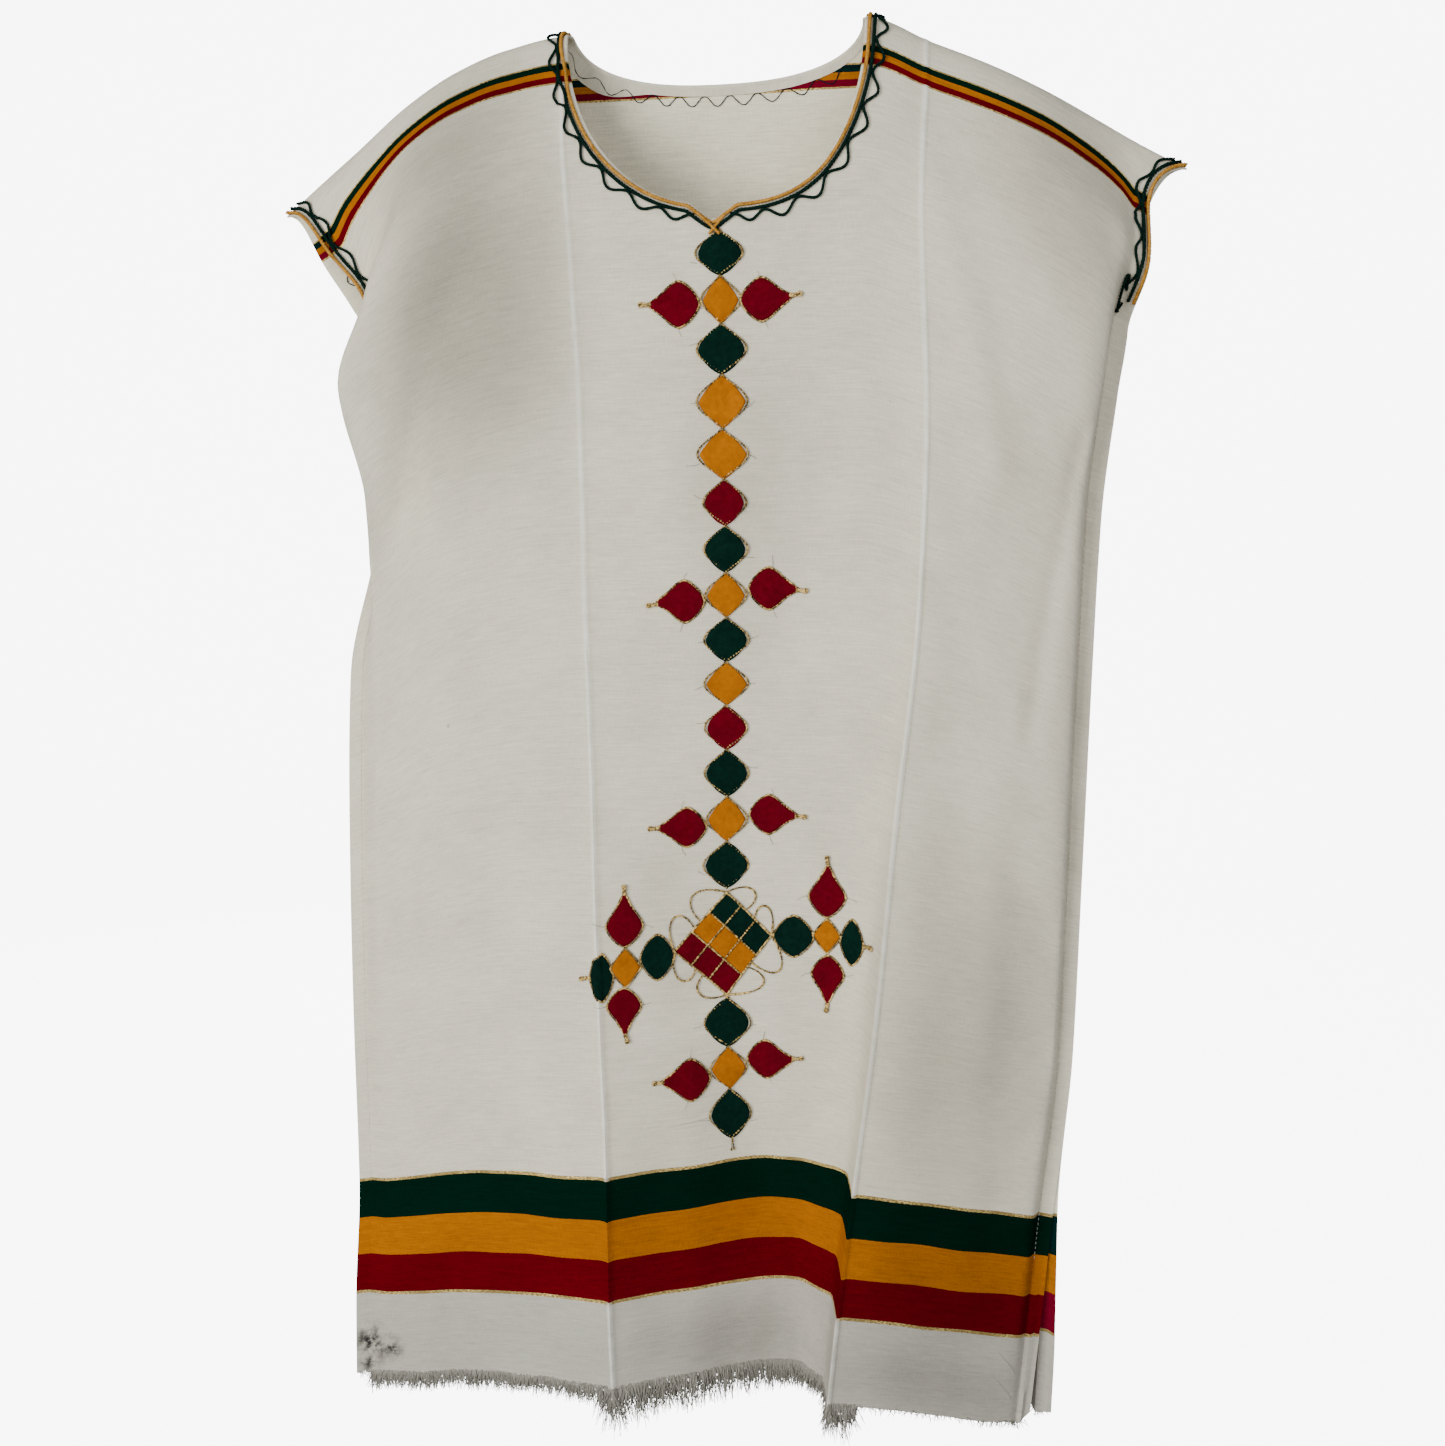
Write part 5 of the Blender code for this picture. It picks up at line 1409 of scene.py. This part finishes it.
# The neck's edge, turned to the inside as a narrow strip
def buildNeckTurning():
    edge, _ = spaced(neckLoop(True), 420, True)
    corners = ((0.0012, 0.0002), (lip["turning"], 0.0002), (lip["turning"], lip["turningThick"]),
               (0.0012, lip["turningThick"]))
    wide = 1 + lip["facing"] * smoothStep(0.050, 0.092, -edge[:, 0]) * smoothStep(0.0, 0.012, -edge[:, 1])
    points = np.stack([underside(pushedOut(edge, inset * (wide if inset > 0.002 else 1), True), depth)
                       for inset, depth in corners], axis=1).reshape(-1, 3)
    piece = meshObject("neckTurning", points, ringFaces(len(edge), len(corners)), [plainCloth], smooth=False)
    plain = np.column_stack([edge[:, 0], 0.4 + 0.1 * edge[:, 1]])    # clear of the woven bands
    addPlaces(piece, np.repeat(plain, len(corners), axis=0))
    facingOut(piece)
    return sewn(piece, slot="cotton")


# Stitching of the wave cord, as it shows on the inside of the back
def buildInnerThread():
    loop, _ = spaced(neckLoop(False), 1800, True)
    loop = loop[loop[:, 1] < -0.006]
    loop = loop[np.argsort(loop[:, 0])][::-1]
    path, at = spaced(loop, 260, False)
    swing = lip["threadSwing"] * np.sin(2 * math.pi * at / lip["threadPeriod"] + 0.6 * np.sin(at * 40))
    path = pushedOut(path, lip["turning"] + 0.0035 + swing, False)
    rows = [underside(path, 0.0007)]
    for hand in (-1, 1):
        along = np.linspace(-0.118, -0.006, 120)
        inset = lip["innerRow"] + lip["innerSwing"] * np.sin(2 * math.pi * along / lip["innerPeriod"])
        across = hand * (1 - inset / trim["sleeveScale"]) * cloth["halfWidth"]
        rows.append(underside(np.column_stack([across, along]), 0.0007))
    thread = laidCord("innerThread", rows, False, lip["threadRadius"], 200.0, 1, cordFinishes["dark"])
    return sewn(thread, slot="green")


# The yellow cords cross at the notch and run on into the chain
def buildNotchCords():
    t = np.linspace(0, 1, 16)
    middle = neckShare(0) * cloth["halfWidth"]
    paths = []
    for hand in (-1, 1):
        across = middle + hand * (-0.0095 + lip["crossRun"] * t) + 0.0012 * t
        spots = np.column_stack([across, lip["crossDown"] + lip["crossRun"] * t])
        paths.append(lifted(spots, trim["cordRadius"] + 0.0013 + 0.0006 * (hand + 1) * np.sin(math.pi * t)))
    cords = laidCord("notchCords", paths, False, lip["crossRadius"], 160.0, 3, cordFinishes["yellow"])
    return sewn(cords, slot="yellow")


neckTurning, innerThread, notchCords = buildNeckTurning(), buildInnerThread(), buildNotchCords()

stitches = {"length": 0.0028, "spacing": 0.0042, "radius": 0.00028, "lie": 0.0001, "share": 0.968, "top": 0.137,
            "ends": {-1: 0.900, 1: 0.945}}


def buildStitchTree():
    tree, given, gone = newMaker("stitchRow", ("Spacing", "Float", 0.004), ("Length", "Float", 0.003),
                                 ("Radius", "Float", 0.0003))
    points = put(tree, "GeometryNodeCurveToPoints", {"Curve": given.outputs["Geometry"],
                                                     "Length": given.outputs["Spacing"]}, mode="LENGTH")
    ball = put(tree, "GeometryNodeMeshUVSphere", {"Segments": 6, "Rings": 4, "Radius": given.outputs["Radius"]})
    longer = sums(tree, "DIVIDE", given.outputs["Length"], times(tree, given.outputs["Radius"], 2.0))
    stretch = put(tree, "ShaderNodeCombineXYZ", {0: 1.0, 1: 1.0, 2: longer})
    turn = put(tree, "FunctionNodeAlignRotationToVector", {"Vector": points.outputs["Tangent"]}, axis="Z")
    copies = put(tree, "GeometryNodeInstanceOnPoints", {
        "Points": points.outputs["Points"], "Instance": ball.outputs[0], "Rotation": turn.outputs[0],
        "Scale": stretch.outputs[0]})
    return handOver(tree, given, gone, copies.outputs[0])


stitchTree = buildStitchTree()


def stitchRow(name, paths, finish, slot):
    source = polyCurve(name + "Path", paths, False)
    values = {"Spacing": stitches["spacing"], "Length": stitches["length"], "Radius": stitches["radius"],
              "Finish": finish}
    return sewn(worked(source, name, stitchTree, values), slot=slot)


seamRows = []
for hand, lowest in stitches["ends"].items():
    seamDown = np.linspace(stitches["top"], lowest, 300)
    for way in (1, -1):
        path = np.column_stack([np.full(len(seamDown), hand * stitches["share"] * cloth["halfWidth"]), way * seamDown])
        seamRows.append(lifted(path, stitches["lie"]))
seamStitches = stitchRow("seamStitches", seamRows, cordFinishes["white"], "cotton")
print("stitches made")

# Cloth: the two walls take the place of the front and back panels
sewn(frontCloth, "front_panel", slot="cotton")
sewn(backCloth, "back_panel", slot="cotton")

# Floor and backdrop, light and camera
studio = {"floor": -1.45, "back": 3.4, "half": 6.0, "bend": 0.6, "paper": (0.93, 0.93, 0.93), "glow": 7.5,
          "air": 0.34, "key": 80.0, "keyTurn": 32.0, "keyHeight": 5.0, "keyFar": 2.8, "keySize": 1.5,
          "fill": 26.0, "fillTurn": -22.0, "fillHeight": 14.0, "rear": 40.0, "rearTurn": 160.0, "rearHeight": 12.0,
          "aim": (0.0, 0.0, -0.5)}


def buildBackdrop():
    steps = 24
    profile = [(-3.0, studio["floor"])]
    for k in range(steps + 1):
        angle = math.pi / 2 * k / steps
        profile.append((studio["back"] - studio["bend"] + studio["bend"] * math.sin(angle),
                        studio["floor"] + studio["bend"] - studio["bend"] * math.cos(angle)))
    profile.append((studio["back"], 3.5))
    points = [(x, y, z) for x in (-studio["half"], studio["half"]) for y, z in profile]
    count = len(profile)
    faces = [(k, k + count, k + count + 1, k + 1) for k in range(count - 1)]
    material, _, shader = newMaterial("paleBackdrop")
    shader.inputs["Base Color"].default_value = (*studio["paper"], 1.0)
    shader.inputs["Roughness"].default_value = 0.9
    shader.inputs["Emission Color"].default_value = (1.0, 1.0, 1.0, 1.0)
    shader.inputs["Emission Strength"].default_value = studio["glow"]
    backdrop = meshObject("backdrop", points, faces, [material])
    backdrop.visible_diffuse = backdrop.visible_glossy = backdrop.visible_transmission = False
    backdrop.visible_shadow = False


buildBackdrop()
world = bpy.data.worlds.new("studioAir")
scene.world = world
world.use_nodes = True
sky = world.node_tree.nodes["Background"]
sky.inputs["Color"].default_value = (0.95, 0.97, 1.0, 1.0)
sky.inputs["Strength"].default_value = studio["air"]


def areaLight(name, spot, aim, size, power, colour):
    lamp = bpy.data.lights.new(name, "AREA")
    lamp.shape = "RECTANGLE"
    lamp.size, lamp.size_y = size
    lamp.energy = power
    lamp.color = colour
    made = bpy.data.objects.new(name, lamp)
    made.location = spot
    made.rotation_euler = (Vector(aim) - Vector(spot)).to_track_quat("-Z", "Y").to_euler()
    made.visible_camera = False
    scene.collection.objects.link(made)


for label, light, tint in (("windowLight", "key", (1.0, 0.985, 0.96)), ("roomLight", "fill", (0.98, 0.99, 1.0)),
                           ("rearLight", "rear", (0.98, 0.99, 1.0))):
    turn, height = math.radians(studio[light + "Turn"]), math.radians(studio[light + "Height"])
    way = Vector((-math.sin(turn) * math.cos(height), -math.cos(turn) * math.cos(height), math.sin(height)))
    areaLight(label, Vector(studio["aim"]) + way * studio["keyFar"], studio["aim"],
              (studio["keySize"], studio["keySize"]), studio[light], tint)

viewpoint = {
    "sensor": 36.0, "lens": 34.88,
    "place": ((0.9905, -0.0054, 0.1376, 0.152), (0.1368, 0.1511, -0.9790, -1.0965), (-0.0155, 0.9886, 0.1504, -0.354),
              (0.0, 0.0, 0.0, 1.0))}
cameraData = bpy.data.cameras.new("camera")
cameraData.sensor_fit = "HORIZONTAL"
cameraData.sensor_width = viewpoint["sensor"]
cameraData.lens = viewpoint["lens"]
camera = bpy.data.objects.new("camera", cameraData)
camera.matrix_world = Matrix(viewpoint["place"])
scene.collection.objects.link(camera)
scene.camera = camera


print("scene made")
